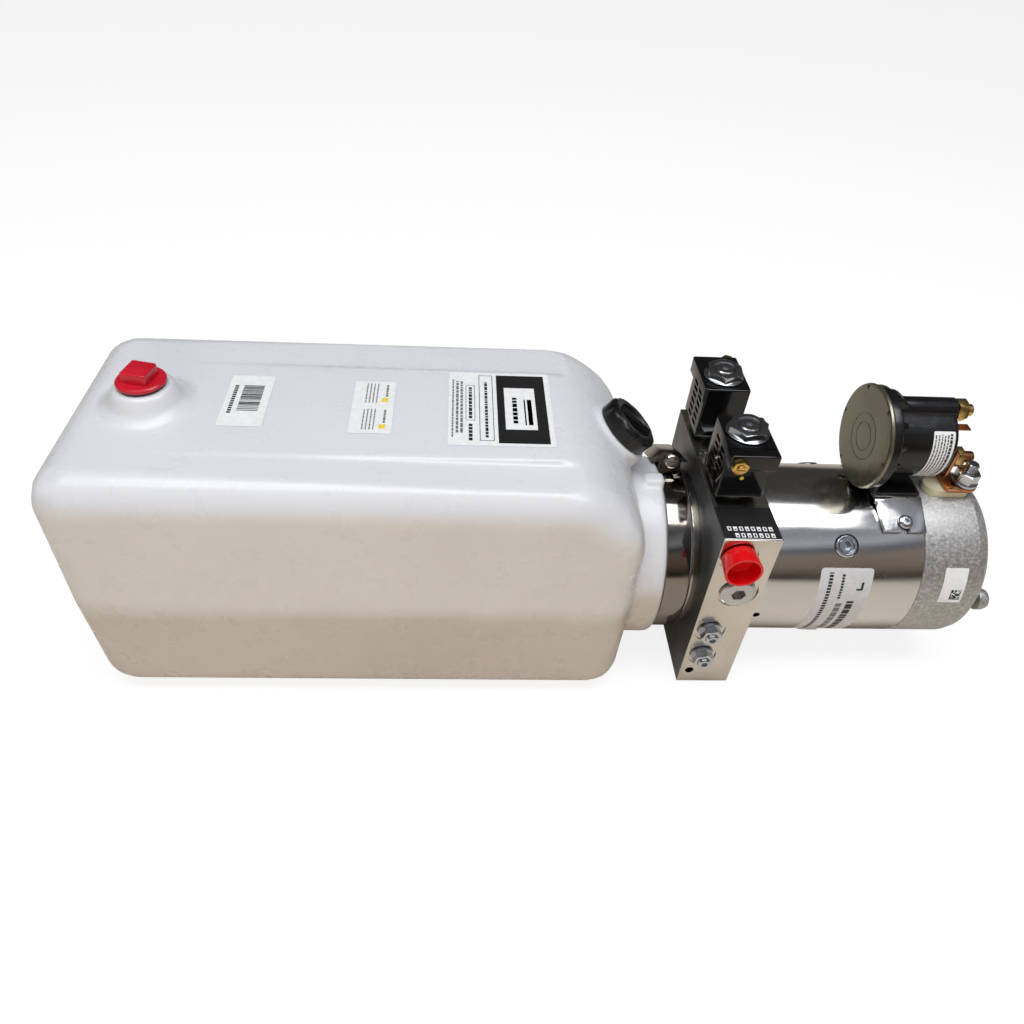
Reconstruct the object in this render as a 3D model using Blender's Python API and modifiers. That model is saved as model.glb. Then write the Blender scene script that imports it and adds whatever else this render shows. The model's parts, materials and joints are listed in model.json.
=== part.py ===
"""Hydraulic power unit: a plastic oil tank clamped to a steel manifold, a gear pump inside the tank's neck,
two solenoid valves on the manifold, and a DC motor with its start contactor.

Millimetres are used throughout and turned into metres as each mesh is made. The origin is the centre of the
manifold's bottom face. +X runs along the motor's shaft away from the tank, +Z is up, and the unit's ports
face -Y.
"""

import math

import bmesh
import bpy
from mathutils import Matrix, Vector

MM = 0.001
GAP = 0.3
WELD = 0.00001

# Manifold block and the shaft line that everything turns about
BLOCK = (35.0, 127.8, 136.0)
BLOCK_Y = -2.6
SHAFT_Z = 66.5
SHAFT = (0.0, 0.0, SHAFT_Z)
FACE_TANK = -BLOCK[0] / 2
FACE_MOTOR = BLOCK[0] / 2
FACE_FRONT = BLOCK_Y - BLOCK[1] / 2
BLOCK_TOP = BLOCK[2]
HUB_R = 48.0
HUB_END = -45.0

# Tank
TANK_LEFT = -397.4
TANK_RIGHT = -60.0
TANK_FRONT = -79.2
TANK_BACK = 84.3
TANK_TOP = 174.2
TANK_SEAM_Z = 82.0
TANK_LEAN = 3.0
TANK_ROUND = 20.0
WALL = 4.0
CHAMFER_TOP_X = -97.0
CHAMFER_LOW_Z = 143.2
CHAMFER_ANGLE = math.atan2(TANK_TOP - CHAMFER_LOW_Z, TANK_RIGHT - CHAMFER_TOP_X)
NECK_R = 53.5
NECK_BORE_R = HUB_R + GAP
COLLAR_R = 59.7
COLLAR_END = -40.0
NECK_END = -22.5

# Openings in the tank
FILLER = (-69.1, 13.0, 150.8)
FILLER_AXIS = (math.sin(CHAMFER_ANGLE), 0.0, math.cos(CHAMFER_ANGLE))
FILLER_SIDE = (math.cos(CHAMFER_ANGLE), 0.0, -math.sin(CHAMFER_ANGLE))
PLUG_AT = (-349.8, 0.0)
BOSS_TOP = 187.0
PLUG_TURN = math.radians(-13)

# Valves on the manifold's top
VALVE_X = -2.3
VALVE_FRONT_Y = -18.0
VALVE_REAR_Y = 41.0
COIL_TOP = 176.5

# Ports and adjusters on the manifold's front
PORT_AT = (-5.5, 122.0)
PORT_PLUG_AT = (2.0, 91.2)
RELIEF_UPPER_AT = (-6.8, 54.2)
RELIEF_LOWER_AT = (-6.4, 29.5)
FOOT_HOLE_AT = (-11.0, 12.4)

# Pump
PITCH_R = 11.0
GEAR_TEETH = 11
GEAR_WIDTH = 14.5
GEAR_X = HUB_END - 0.9
DRIVEN_Z = SHAFT_Z - 2 * PITCH_R
JOURNAL_R = 6.0

# Motor
TUBE_R = 57.0
TUBE_BORE_R = 52.0
TUBE_START = FACE_MOTOR + GAP
TUBE_END = 124.8
CAP_END = 172.0
CAP_BORE_R = 50.2
SHAFT_R = 7.0
CORE_R = 33.8
COMMUTATOR_R = 19.0
BOLT_REACH = 47.0
POLE_SCREW_X = 74.0

# Contactor above the motor
CONTACTOR_Y = 6.0
CONTACTOR_Z = 158.0
DISC_X = 83.0
RING_END = 91.0
CONTACTOR_END = 131.0
CONTACTOR_R = 24.0

X_AXIS = (1.0, 0.0, 0.0)
Y_AXIS = (0.0, 1.0, 0.0)
Z_AXIS = (0.0, 0.0, 1.0)


def clear_scene():
    for item in list(bpy.data.objects):
        bpy.data.objects.remove(item)


def new_collection(name):
    made = bpy.data.collections.new(name)
    bpy.context.scene.collection.children.link(made)
    return made


clear_scene()
PARTS = new_collection("hydraulic_power_unit")
CUTTERS = new_collection("cutters")


def material(name, colour, roughness, metallic=0.0):
    made = bpy.data.materials.new(name)
    made.use_nodes = True
    shader = made.node_tree.nodes["Principled BSDF"]
    shader.inputs["Base Color"].default_value = (*colour, 1.0)
    shader.inputs["Roughness"].default_value = roughness
    shader.inputs["Metallic"].default_value = metallic
    made.diffuse_color = (*colour, 1.0)
    return made


POLY = material("tank_polyethylene", (0.78, 0.77, 0.75), 0.35)
STEEL = material("machined_steel", (0.6, 0.57, 0.52), 0.25, 1.0)
BRIGHT = material("bright_plated_steel", (0.7, 0.7, 0.7), 0.12, 1.0)
ZINC = material("zinc_plated_steel", (0.62, 0.64, 0.68), 0.28, 1.0)
OLIVE = material("contactor_plate", (0.28, 0.27, 0.21), 0.4, 0.6)
CAST = material("cast_aluminium", (0.55, 0.55, 0.53), 0.5, 0.9)
BRASS = material("brass", (0.72, 0.5, 0.16), 0.25, 1.0)
COPPER = material("copper", (0.62, 0.3, 0.16), 0.3, 1.0)
BLACK = material("black_plastic", (0.02, 0.02, 0.022), 0.35)
RED = material("red_plastic", (0.75, 0.02, 0.04), 0.3)
CREAM = material("cream_insulator", (0.75, 0.7, 0.5), 0.4)
RUBBER = material("black_rubber", (0.015, 0.015, 0.015), 0.7)
CARBON = material("brush_carbon", (0.05, 0.05, 0.05), 0.6)
IRON = material("laminated_iron", (0.25, 0.24, 0.23), 0.5, 0.8)


def basis(axis, side):
    """Rotation whose Z is axis and whose X is side."""
    along = Vector(axis).normalized()
    across = Vector(side).normalized()
    return Matrix((across, along.cross(across), along)).transposed().to_4x4()


def side_of(axis):
    """A side direction square to axis: +X where it can be, or else +Y."""
    return Y_AXIS if abs(Vector(axis).x) > 0.9 else X_AXIS


def add(name, mesh, mat, at=(0, 0, 0), axis=Z_AXIS, side=None):
    """An object of the model, or a cutter where mat is None."""
    made = bpy.data.objects.new(name, mesh)
    if mat is None:
        CUTTERS.objects.link(made)
        made.hide_render = True
        made.display_type = "WIRE"
    else:
        PARTS.objects.link(made)
        mesh.materials.append(mat)
    made.matrix_world = Matrix.Translation(Vector(at) * MM) @ basis(axis, side or side_of(axis))
    return made


def turned(name, profile, mat, at=SHAFT, axis=X_AXIS, steps=20, side=None, closed=False):
    """A turned piece. The profile holds (radius, distance along axis) down the outer side, last distance first."""
    mesh = bpy.data.meshes.new(name)
    points = [(r * MM, 0.0, d * MM) for r, d in profile]
    edges = [(i, i + 1) for i in range(len(points) - 1)]
    if closed:
        edges.append((len(points) - 1, 0))
    mesh.from_pydata(points, edges, [])
    made = add(name, mesh, mat, at, axis, side)
    turn = made.modifiers.new("turn", "SCREW")
    turn.steps = steps
    turn.render_steps = steps
    turn.use_merge_vertices = True
    turn.merge_threshold = WELD
    turn.use_smooth_shade = steps > 12
    return made


def rod(name, radius, start, end, mat=None, **where):
    return turned(name, [(0, end), (radius, end), (radius, start), (0, start)], mat, **where)


def ring(name, inner, outer, start, end, mat=None, **where):
    profile = [(outer, end), (outer, start), (inner, start), (inner, end)]
    return turned(name, profile, mat, closed=True, **where)


def hexagon(name, across_flats, start, end, mat=None, **where):
    return rod(name, across_flats / math.sqrt(3), start, end, mat, steps=6, **where)


def box(name, low, high, mat=None, bevel=0.0, turn=None):
    """A box between two corners, turned about its own centre by the matrix turn."""
    low = Vector(low)
    high = Vector(high)
    shape = bmesh.new()
    bmesh.ops.create_cube(shape, size=1.0)
    bmesh.ops.scale(shape, vec=(high - low) * MM, verts=shape.verts)
    mesh = bpy.data.meshes.new(name)
    shape.to_mesh(mesh)
    shape.free()
    made = add(name, mesh, mat, (low + high) / 2)
    if turn:
        made.matrix_world = made.matrix_world @ turn
    if bevel:
        soften(made, bevel, 2)
    return made


def soften(made, width, segments, angle=30):
    bevel = made.modifiers.new("rounded edges", "BEVEL")
    bevel.width = width * MM
    bevel.segments = segments
    bevel.limit_method = "ANGLE"
    bevel.angle_limit = math.radians(angle)
    bevel.use_clamp_overlap = False


def curve_mesh(name, curve):
    """The welded mesh of a curve, whose caps are loose until then."""
    guide = bpy.data.objects.new(name, curve)
    CUTTERS.objects.link(guide)
    bpy.context.view_layer.update()
    graph = bpy.context.evaluated_depsgraph_get()
    mesh = bpy.data.meshes.new_from_object(guide.evaluated_get(graph))
    bpy.data.objects.remove(guide)
    shape = bmesh.new()
    shape.from_mesh(mesh)
    bmesh.ops.remove_doubles(shape, verts=shape.verts, dist=WELD)
    bmesh.ops.dissolve_limit(shape, angle_limit=0.001, verts=shape.verts, edges=shape.edges)
    bmesh.ops.recalc_face_normals(shape, faces=shape.faces)
    shape.to_mesh(mesh)
    shape.free()
    return mesh


def plate(name, outlines, thickness, mat=None, at=(0, 0, 0), axis=Z_AXIS, side=None):
    """A flat plate from closed outlines, a hole being an outline inside another; its middle lies at the point."""
    curve = bpy.data.curves.new(name, "CURVE")
    curve.dimensions = "2D"
    curve.fill_mode = "BOTH"
    curve.extrude = thickness / 2 * MM
    for outline in outlines:
        spline = curve.splines.new("POLY")
        spline.points.add(len(outline) - 1)
        spline.use_cyclic_u = True
        for point, (a, b) in zip(spline.points, outline):
            point.co = (a * MM, b * MM, 0.0, 1.0)
    return add(name, curve_mesh(name, curve), mat, at, axis, side)


def tube(name, points, radius, mat, resolution=1):
    """A round bar along a smooth run of points."""
    curve = bpy.data.curves.new(name, "CURVE")
    curve.dimensions = "3D"
    curve.bevel_depth = radius * MM
    curve.bevel_resolution = resolution
    curve.use_fill_caps = True
    spline = curve.splines.new("POLY")
    spline.points.add(len(points) - 1)
    for point, place in zip(spline.points, points):
        point.co = (*(Vector(place) * MM), 1.0)
    mesh = curve_mesh(name, curve)
    mesh.shade_smooth()
    return add(name, mesh, mat)


def boolean(made, operation, others):
    for other in others:
        step = made.modifiers.new(f"{operation.lower()} {other.name}", "BOOLEAN")
        step.operation = operation
        step.solver = "EXACT"
        step.object = other
    return made


def cut(made, *others):
    return boolean(made, "DIFFERENCE", others)


def join(made, *others):
    return boolean(made, "UNION", others)


def arc(radius, start, end, count, centre=(0.0, 0.0)):
    """Points on an arc, angles in degrees."""
    angles = [math.radians(start + (end - start) * i / count) for i in range(count + 1)]
    return [(centre[0] + radius * math.cos(a), centre[1] + radius * math.sin(a)) for a in angles]


def coil_points(at, radius, turns, length, per_turn):
    count = int(turns * per_turn)
    points = []
    for i in range(count + 1):
        angle = 2 * math.pi * i / per_turn
        x = at[0] + radius * math.cos(angle)
        y = at[1] + radius * math.sin(angle)
        points.append((x, y, at[2] + length * i / count))
    return points


# ---------------------------------------------------------------- tank


def tank_outline(inset, drop):
    """Side view of the tank, x and z, moved in by the wall's thickness and lower at the top by drop."""
    slope = inset * math.tan(CHAMFER_ANGLE / 2)
    low_slope = inset * math.tan((math.pi / 2 - CHAMFER_ANGLE) / 2)
    top = TANK_TOP - inset - drop
    left = TANK_LEFT + inset
    right = TANK_RIGHT - inset
    return [
        (left + TANK_LEAN, inset),
        (right - TANK_LEAN / 2, inset),
        (right, TANK_SEAM_Z),
        (right, CHAMFER_LOW_Z - low_slope - drop),
        (CHAMFER_TOP_X - slope, top),
        (left, top),
        (left, TANK_SEAM_Z),
    ]


def tank_form(name, mat, inset, drop, rounding):
    """The tank's rounded box. Below the seam it leans in a little on every side."""
    width = TANK_BACK - TANK_FRONT - 2 * inset
    middle = (TANK_BACK + TANK_FRONT) / 2
    made = plate(name, [tank_outline(inset, drop)], width, mat, (0, middle, 0), (0, -1, 0), X_AXIS)
    shape = bmesh.new()
    shape.from_mesh(made.data)
    everything = shape.verts[:] + shape.edges[:] + shape.faces[:]
    seam = (0, TANK_SEAM_Z * MM, 0)
    bmesh.ops.bisect_plane(shape, geom=everything, plane_co=seam, plane_no=(0, 1, 0), dist=WELD)
    for vert in shape.verts:
        if vert.co.y < (inset + 1) * MM:
            vert.co.z -= math.copysign(TANK_LEAN * MM, vert.co.z)
    shape.to_mesh(made.data)
    shape.free()
    soften(made, rounding, 3, 20)
    return made


def shoulder_cutter(name, low_y, high_y):
    """A long shallow recess in the tank's top that fades out towards the far end."""
    length = 250.0
    depth = 3.0
    tilt = math.atan2(depth, length)
    low = (-102 - length, low_y, TANK_TOP - depth / 2)
    high = (-102, high_y, TANK_TOP + 10 - depth / 2)
    return box(name, low, high, turn=Matrix.Rotation(tilt, 4, "Y"))


def make_tank():
    tank = tank_form("reservoir_tank", POLY, 0.0, 0.0, TANK_ROUND)
    cut(tank, shoulder_cutter("shoulder_front", TANK_FRONT - 5, -45), shoulder_cutter("shoulder_back", 43, 90))
    neck = [(0, NECK_END), (NECK_R, NECK_END), (NECK_R, COLLAR_END), (COLLAR_R - 1.5, COLLAR_END)]
    neck += [(COLLAR_R, COLLAR_END - 1.5), (COLLAR_R, -67), (0, -67)]
    key = box("neck_key", (-52, -8, SHAFT_Z + 56), (COLLAR_END + 1, 2, SHAFT_Z + 62.5), bevel=1.0)
    boss = turned(
        "plug_boss",
        [(0, BOSS_TOP), (15.5, BOSS_TOP), (17, BOSS_TOP - 1.5), (21.5, 178), (29, 173.2), (29, 169), (0, 169)],
        None, (*PLUG_AT, 0), Z_AXIS, 24,
    )
    filler = turned(
        "filler_boss",
        [(0, 9), (15.5, 9), (15.5, 2.2), (20, 2.2), (21.5, 0.5), (21.5, -7), (0, -7)],
        None, FILLER, FILLER_AXIS, 32, FILLER_SIDE,
    )
    join(tank, turned("neck", neck, None, steps=32), key, boss, filler)
    cavity = tank_form("tank_cavity", None, WALL, 3.0, TANK_ROUND - WALL)
    cut(
        tank,
        cavity,
        rod("neck_bore", NECK_BORE_R, -75, NECK_END + 5, steps=32),
        rod("plug_bore", 10.6, 150, BOSS_TOP + 5, at=(*PLUG_AT, 0), axis=Z_AXIS, steps=20),
        rod("filler_bore", 12.2, -18, 14, at=FILLER, axis=FILLER_AXIS, side=FILLER_SIDE, steps=24),
    )


def make_filler_cap():
    cap = turned(
        "filler_cap",
        [(0, 13), (16.6, 13), (18.4, 11.8), (18.9, 10.5), (18.9, 2.6), (16, 2.6), (16, 10.6), (0, 10.6)],
        BLACK, FILLER, FILLER_AXIS, 32, FILLER_SIDE,
    )
    lobes = []
    for index in range(8):
        angle = 2 * math.pi * (index + 0.5) / 8
        reach = Vector(FILLER_SIDE) * math.cos(angle) + Vector(Y_AXIS) * math.sin(angle)
        foot = Vector(FILLER) + reach * 21.4
        lobes.append(rod(f"cap_scallop_{index}", 3.6, 5.5, 16, at=foot, axis=FILLER_AXIS, side=FILLER_SIDE, steps=10))
    grip = box("cap_grip", (-14, -2.6, -1.6), (14, 2.6, 1.6))
    middle = Vector(FILLER) + Vector(FILLER_AXIS) * 13.0
    grip.matrix_world = Matrix.Translation(middle * MM) @ basis(FILLER_AXIS, FILLER_SIDE)
    join(cap, grip)
    cut(cap, *lobes)
    ring("filler_gasket", 12.4, 15.4, 9.3, 10.3, RUBBER, at=FILLER, axis=FILLER_AXIS, side=FILLER_SIDE)


def make_tank_plug():
    place = (*PLUG_AT, 0)
    base = BOSS_TOP + 1.6
    plug = turned(
        "tank_plug",
        [(0, base + 2.4), (13.2, base + 2.4), (14, base + 1.6), (14, base), (10.2, base), (10.2, 172), (0, 172)],
        RED, place, Z_AXIS, 32,
    )
    turn = Matrix.Rotation(PLUG_TURN, 4, "Z")
    centre = (PLUG_AT[0], PLUG_AT[1])
    head = box("plug_head", (centre[0] - 7, centre[1] - 7, base + 1), (centre[0] + 7, centre[1] + 7, 197.4), turn=turn)
    head.name = "plug_square"
    join(plug, head)
    ring("tank_plug_seal", 10.6, 13.4, BOSS_TOP + GAP, base - GAP, RUBBER, at=place, axis=Z_AXIS)


def make_clamp():
    band = ring("clamp_band", NECK_R + GAP, NECK_R + 2.3, -39, -24, BRIGHT, steps=32)
    tilt = math.radians(64)
    outward = Vector((0, math.cos(tilt), math.sin(tilt)))
    forward = Vector((0, -math.sin(tilt), math.cos(tilt)))
    foot = Vector((-31.5, 0, SHAFT_Z))
    low = NECK_R + 0.6
    outline = [(-7.2, low), (7.2, low), (7.2, 60.8), (12.5, 60.2), (10, 62.6), (5.5, 67), (-5.5, 67)]
    outline += [(-10, 62.6), (-12.5, 60.2), (-7.2, 60.8)]
    housing = plate("clamp_housing", [outline], 25, None, foot, forward, X_AXIS)
    channel = rod("clamp_channel", 3.9, -20, 20, at=foot + outward * 61.8, axis=forward, side=X_AXIS, steps=16)
    join(band, housing)
    cut(band, channel)
    screw = turned(
        "clamp_screw",
        [(0, 18.4), (3.6, 18.4), (4.6, 17.4), (4.6, 13.2), (3.4, 13.2), (3.4, -14), (0, -14)],
        BRIGHT, foot + outward * 61.8, forward, 16, X_AXIS,
    )
    slot = box("clamp_slot", (-5.5, -0.6, -1.3), (5.5, 0.6, 1.3))
    slot.matrix_world = Matrix.Translation((foot + outward * 61.8 + forward * 18.2) * MM) @ basis(forward, X_AXIS)
    cut(screw, slot)


# ---------------------------------------------------------------- manifold


def front_place(at, y=FACE_FRONT):
    return (at[0], y, at[1])


def front_bore(name, at, radius, depth, steps=16):
    """A hole that runs in from the manifold's front face."""
    return rod(name, radius, -2, depth, at=front_place(at), axis=Y_AXIS, steps=steps)


def make_manifold():
    low = (FACE_TANK, FACE_FRONT, 0)
    high = (FACE_MOTOR, FACE_FRONT + BLOCK[1], BLOCK_TOP)
    block = box("manifold_block", low, high, STEEL)
    soften(block, 0.6, 1)
    hub = [(0, FACE_TANK + 2), (52.6, FACE_TANK + 2), (52.6, NECK_END + GAP), (HUB_R, NECK_END + GAP), (HUB_R, -29.4)]
    hub += [(44.5, -29.4), (44.5, -33.4), (HUB_R, -33.4), (HUB_R, HUB_END), (0, HUB_END)]
    join(block, turned("hub", hub, None, steps=32))
    cut(
        block,
        front_bore("port_face", PORT_AT, 11.6, 0.8, 24),
        front_bore("port_bore", PORT_AT, 7.6, 30),
        front_bore("plug_face", PORT_PLUG_AT, 12.6, 1.0, 24),
        front_bore("plug_thread", PORT_PLUG_AT, 9.3, 15),
        front_bore("relief_face_upper", RELIEF_UPPER_AT, 10.0, 0.7, 24),
        front_bore("relief_bore_upper", RELIEF_UPPER_AT, 6.3, 38, 18),
        front_bore("relief_face_lower", RELIEF_LOWER_AT, 9.6, 0.7, 24),
        front_bore("relief_bore_lower", RELIEF_LOWER_AT, 6.3, 38, 18),
        front_bore("foot_hole", FOOT_HOLE_AT, 2.9, 16, 16),
    )
    for name, y in (("front", VALVE_FRONT_Y), ("rear", VALVE_REAR_Y)):
        cut(block, rod(f"valve_cavity_{name}", 9.3, 106, 140, at=(VALVE_X, y, 0), axis=Z_AXIS, steps=20))
    cut(
        block,
        rod("top_plug_bore", 8.4, 122, 140, at=(-4, 12, 0), axis=Z_AXIS, steps=16),
        rod("shaft_bore", 8.5, HUB_END - 5, FACE_MOTOR + 5, steps=20),
        rod("seal_pocket", 14, 7, FACE_MOTOR + 5),
        rod("driven_journal", JOURNAL_R + GAP, HUB_END - 5, -33, at=(0, 0, DRIVEN_Z), steps=16),
    )
    for side in (-1, 1):
        hole = (0, side * BOLT_REACH, SHAFT_Z)
        cut(block, rod(f"bolt_thread_{side}", 3.0, 6, FACE_MOTOR + 5, at=hole, steps=12))
    ring("neck_seal", 44.9, 47.9, -33.0, -29.8, RUBBER, steps=32)


def make_port_closures():
    cap = [(0, 2.2), (9.2, 2.2), (9.6, 12.7), (11.0, 12.7), (10.3, GAP), (7.2, GAP), (6.9, -8), (0, -8)]
    turned("port_cap", cap, RED, front_place(PORT_AT), (0, -1, 0), 24)
    plug = [(0, 2.2), (10.4, 2.2), (11, 1.6), (11, -0.6), (9, -0.6), (9, -12), (0, -12)]
    plug = turned("port_plug", plug, ZINC, front_place(PORT_PLUG_AT), (0, -1, 0), 24)
    cut(plug, hexagon("plug_socket", 8, -4.5, 4, at=front_place(PORT_PLUG_AT), axis=(0, -1, 0)))
    place = (-4, 12, BLOCK_TOP)
    top = rod("top_plug", 8.0, -12, 1.5, ZINC, at=place, axis=Z_AXIS, steps=16)
    join(top, hexagon("top_plug_head", 20, GAP, 5.5, at=place, axis=Z_AXIS))


def make_relief(level, at):
    """One pressure adjuster: a locknut, a set screw with a hexagon socket, and the spring seat that it pushes."""
    place = front_place(at)
    outward = (0, -1, 0)
    nut = ring(f"relief_locknut_{level}", 4.3, 7.8, -0.3, 1.4, ZINC, at=place, axis=outward, steps=20)
    join(nut, hexagon(f"locknut_hex_{level}", 12, 1.0, 6.6, at=place, axis=outward))
    cut(nut, rod(f"locknut_bore_{level}", 4.3, -5, 10, at=place, axis=outward, steps=20))
    screw = [(0, 8.6), (3.4, 8.6), (4.0, 8.0), (4.0, -17), (0, -17)]
    screw = turned(f"relief_screw_{level}", screw, ZINC, place, outward, 20)
    cut(screw, hexagon(f"screw_socket_{level}", 4, 5, 12, at=place, axis=outward))
    rod(f"relief_seat_{level}", 6.0, -23, -17.4, ZINC, at=place, axis=outward, steps=16)


# ---------------------------------------------------------------- valves


def make_valve(end, y, facing):
    """A solenoid valve. Its coil's wide head faces -Y where facing is -1 and +Y where it is 1."""
    place = (VALVE_X, y, 0)
    body = [(0, 182.3), (5.4, 182.3), (6, 181.7), (6, 171), (6.9, 171), (6.9, 139.6), (10.4, 139.6)]
    body += [(10.4, BLOCK_TOP + GAP), (9, BLOCK_TOP + GAP), (9, 108), (5, 108), (5, 168), (0, 168)]
    turned(f"cartridge_{end}", body, ZINC, place, Z_AXIS, 20)
    rod(f"plunger_{end}", 4.7, 118, 146, IRON, at=place, axis=Z_AXIS, steps=20)
    spring = coil_points((VALVE_X, y, 147.2), 3.6, 6, 19.6, 8)
    tube(f"plunger_spring_{end}", spring, 0.55, ZINC, 0)
    low = (VALVE_X - 14, y - 16, 140)
    coil = box(f"coil_{end}", low, (VALVE_X + 14, y + 16, COIL_TOP), BLACK, 1.0)
    edges = sorted((y + facing * 23.0, y - facing * 15.0))
    left, right = (VALVE_X - 14.1, VALVE_X + 14.3) if facing < 0 else (VALVE_X - 14.6, VALVE_X + 14.1)
    head = box(f"coil_head_{end}", (left, edges[0], 165.6), (right, edges[1], COIL_TOP + 0.1), bevel=1.0)
    join(coil, head)
    stud_x = VALVE_X + facing * 9.2
    stud_place = (stud_x, y + facing * 23.0, 171)
    outward = (0, facing, 0)
    cut(
        coil,
        rod(f"coil_bore_{end}", 7.3, 130, 190, at=place, axis=Z_AXIS, steps=20),
        rod(f"coil_terminal_hole_{end}", 2.8, -6, 4, at=stud_place, axis=outward, steps=12),
    )
    nut = ring(f"coil_nut_{end}", 6.3, 12.6, COIL_TOP + GAP + 0.1, COIL_TOP + 1.3, ZINC, at=place, axis=Z_AXIS)
    join(nut, hexagon(f"coil_nut_hex_{end}", 22, COIL_TOP + 1, 181.4, at=place, axis=Z_AXIS))
    cut(nut, rod(f"coil_nut_bore_{end}", 6.3, 170, 190, at=place, axis=Z_AXIS, steps=24))
    terminal = rod(f"coil_terminal_{end}", 2.5, -5, 5.6, BRASS, at=stud_place, axis=outward, steps=16)
    join(terminal, hexagon(f"coil_terminal_hex_{end}", 8.6, GAP, 4.2, at=stud_place, axis=outward))
    slot_middle = stud_place[1] + facing * 5.4
    slot = box(f"terminal_slot_{end}", (stud_x - 4, slot_middle - 1, 170.6), (stud_x + 4, slot_middle + 1, 171.4))
    cut(terminal, slot)


# ---------------------------------------------------------------- pump


def gear_outline(turn):
    """Spur gear of straight-flanked teeth with root clearance, first tooth at the angle turn."""
    outline = []
    step = 2 * math.pi / GEAR_TEETH
    flanks = ((8.9, -0.34), (12.5, -0.115), (12.5, 0.115), (8.9, 0.34))
    for tooth in range(GEAR_TEETH):
        middle = turn + tooth * step
        for radius, share in flanks:
            angle = middle + share * step
            outline.append((radius * math.cos(angle), radius * math.sin(angle)))
    return outline


def make_gear(name, z, turn, shaft_end, mat):
    middle = (GEAR_X - GEAR_WIDTH / 2, 0, z)
    gear = plate(name, [gear_outline(turn)], GEAR_WIDTH, mat, middle, X_AXIS, Y_AXIS)
    gear_place = (0, 0, z)
    join(gear, rod(f"{name}_shaft", JOURNAL_R, -72.5, shaft_end, at=gear_place, steps=20))
    return gear


def make_pump():
    outline = []
    for centre, start in (((19, 79), 0), ((-19, 79), 90), ((-19, 35), 180), ((19, 35), 270)):
        outline += arc(5, start, start + 90, 3, centre)
    body = plate("pump_body", [outline], 16, CAST, (HUB_END - GAP - 8, 0, 0), X_AXIS, Y_AXIS)
    for z in (SHAFT_Z, DRIVEN_Z):
        cut(body, rod(f"gear_chamber_{z:.0f}", 13.1, -70, -40, at=(0, 0, z)))
    cover_start = HUB_END - GAP - 16 - GAP
    cover = plate("pump_cover", [outline], 16, CAST, (cover_start - 8, 0, 0), X_AXIS, Y_AXIS)
    for z in (SHAFT_Z, DRIVEN_Z):
        cut(cover, rod(f"cover_journal_{z:.0f}", JOURNAL_R + GAP, -73.5, -55, at=(0, 0, z), steps=20))
    inlet = (0, -16, 55.5)
    cut(cover, rod("inlet_hole", 4.5, -90, -50, at=inlet, steps=16))
    half_tooth = math.pi / GEAR_TEETH
    drive = make_gear("drive_gear", SHAFT_Z, -math.pi / 2, -17.2, IRON)
    join(drive, box("drive_tang", (-18, -2, SHAFT_Z - 5.2), (-11.5, 2, SHAFT_Z + 5.2)))
    make_gear("driven_gear", DRIVEN_Z, math.pi / 2 + half_tooth, -34, IRON)
    run = [(-77.6, -16, 55.5), (-90, -16, 55.5)]
    bend = 18.0
    for step in range(1, 6):
        angle = math.radians(70 * step / 6)
        run.append((-90 - bend * math.sin(angle), -16, 55.5 - bend * (1 - math.cos(angle))))
    run += [(-112, -16, 36), (-117, -16, 24)]
    suction = tube("suction_tube", run, 6.0, BLACK)
    cup = [(0, 8), (14, 8), (16, 6), (16, -10), (0, -10)]
    cup_place = (-118, -16, 18)
    join(suction, turned("strainer_cup", cup, None, cup_place, Z_AXIS, 20))
    bore = tube("suction_bore", [(-70, -16, 55.5)] + run[1:-1] + [(-116, -16, 27)], 4.3, None)
    cut(suction, bore, rod("strainer_hollow", 13.5, -14, 5, at=cup_place, axis=Z_AXIS, steps=20))


# ---------------------------------------------------------------- motor


def around_shaft(reach, angle, x=0.0):
    """A point at this reach from the shaft, the angle running from the front (-Y) up over the top."""
    turn = math.radians(angle)
    return (x, -reach * math.cos(turn), SHAFT_Z + reach * math.sin(turn))


def outward_at(angle):
    turn = math.radians(angle)
    return (0, -math.cos(turn), math.sin(turn))


def make_motor_case():
    case = ring("motor_tube", TUBE_BORE_R, TUBE_R, TUBE_START, TUBE_END, BRIGHT, steps=32)
    for angle in (45, 135, 225, 315):
        place = around_shaft(0, angle, POLE_SCREW_X)
        axis = outward_at(angle)
        cut(
            case,
            rod(f"screw_seat_{angle}", 7.9, 54.0, 62, at=place, axis=axis, side=X_AXIS, steps=20),
            rod(f"screw_hole_{angle}", 4.4, 48, 60, at=place, axis=axis, side=X_AXIS, steps=16),
        )
    vent = around_shaft(0, -8, 25)
    cut(case, rod("case_vent", 2.4, 48, 60, at=vent, axis=outward_at(-8), side=X_AXIS, steps=12))
    saddle_place = around_shaft(0, 60, 111)
    cut(case, rod("saddle_thread", 2.4, 53, 60, at=saddle_place, axis=outward_at(60), side=X_AXIS, steps=12))


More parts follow.
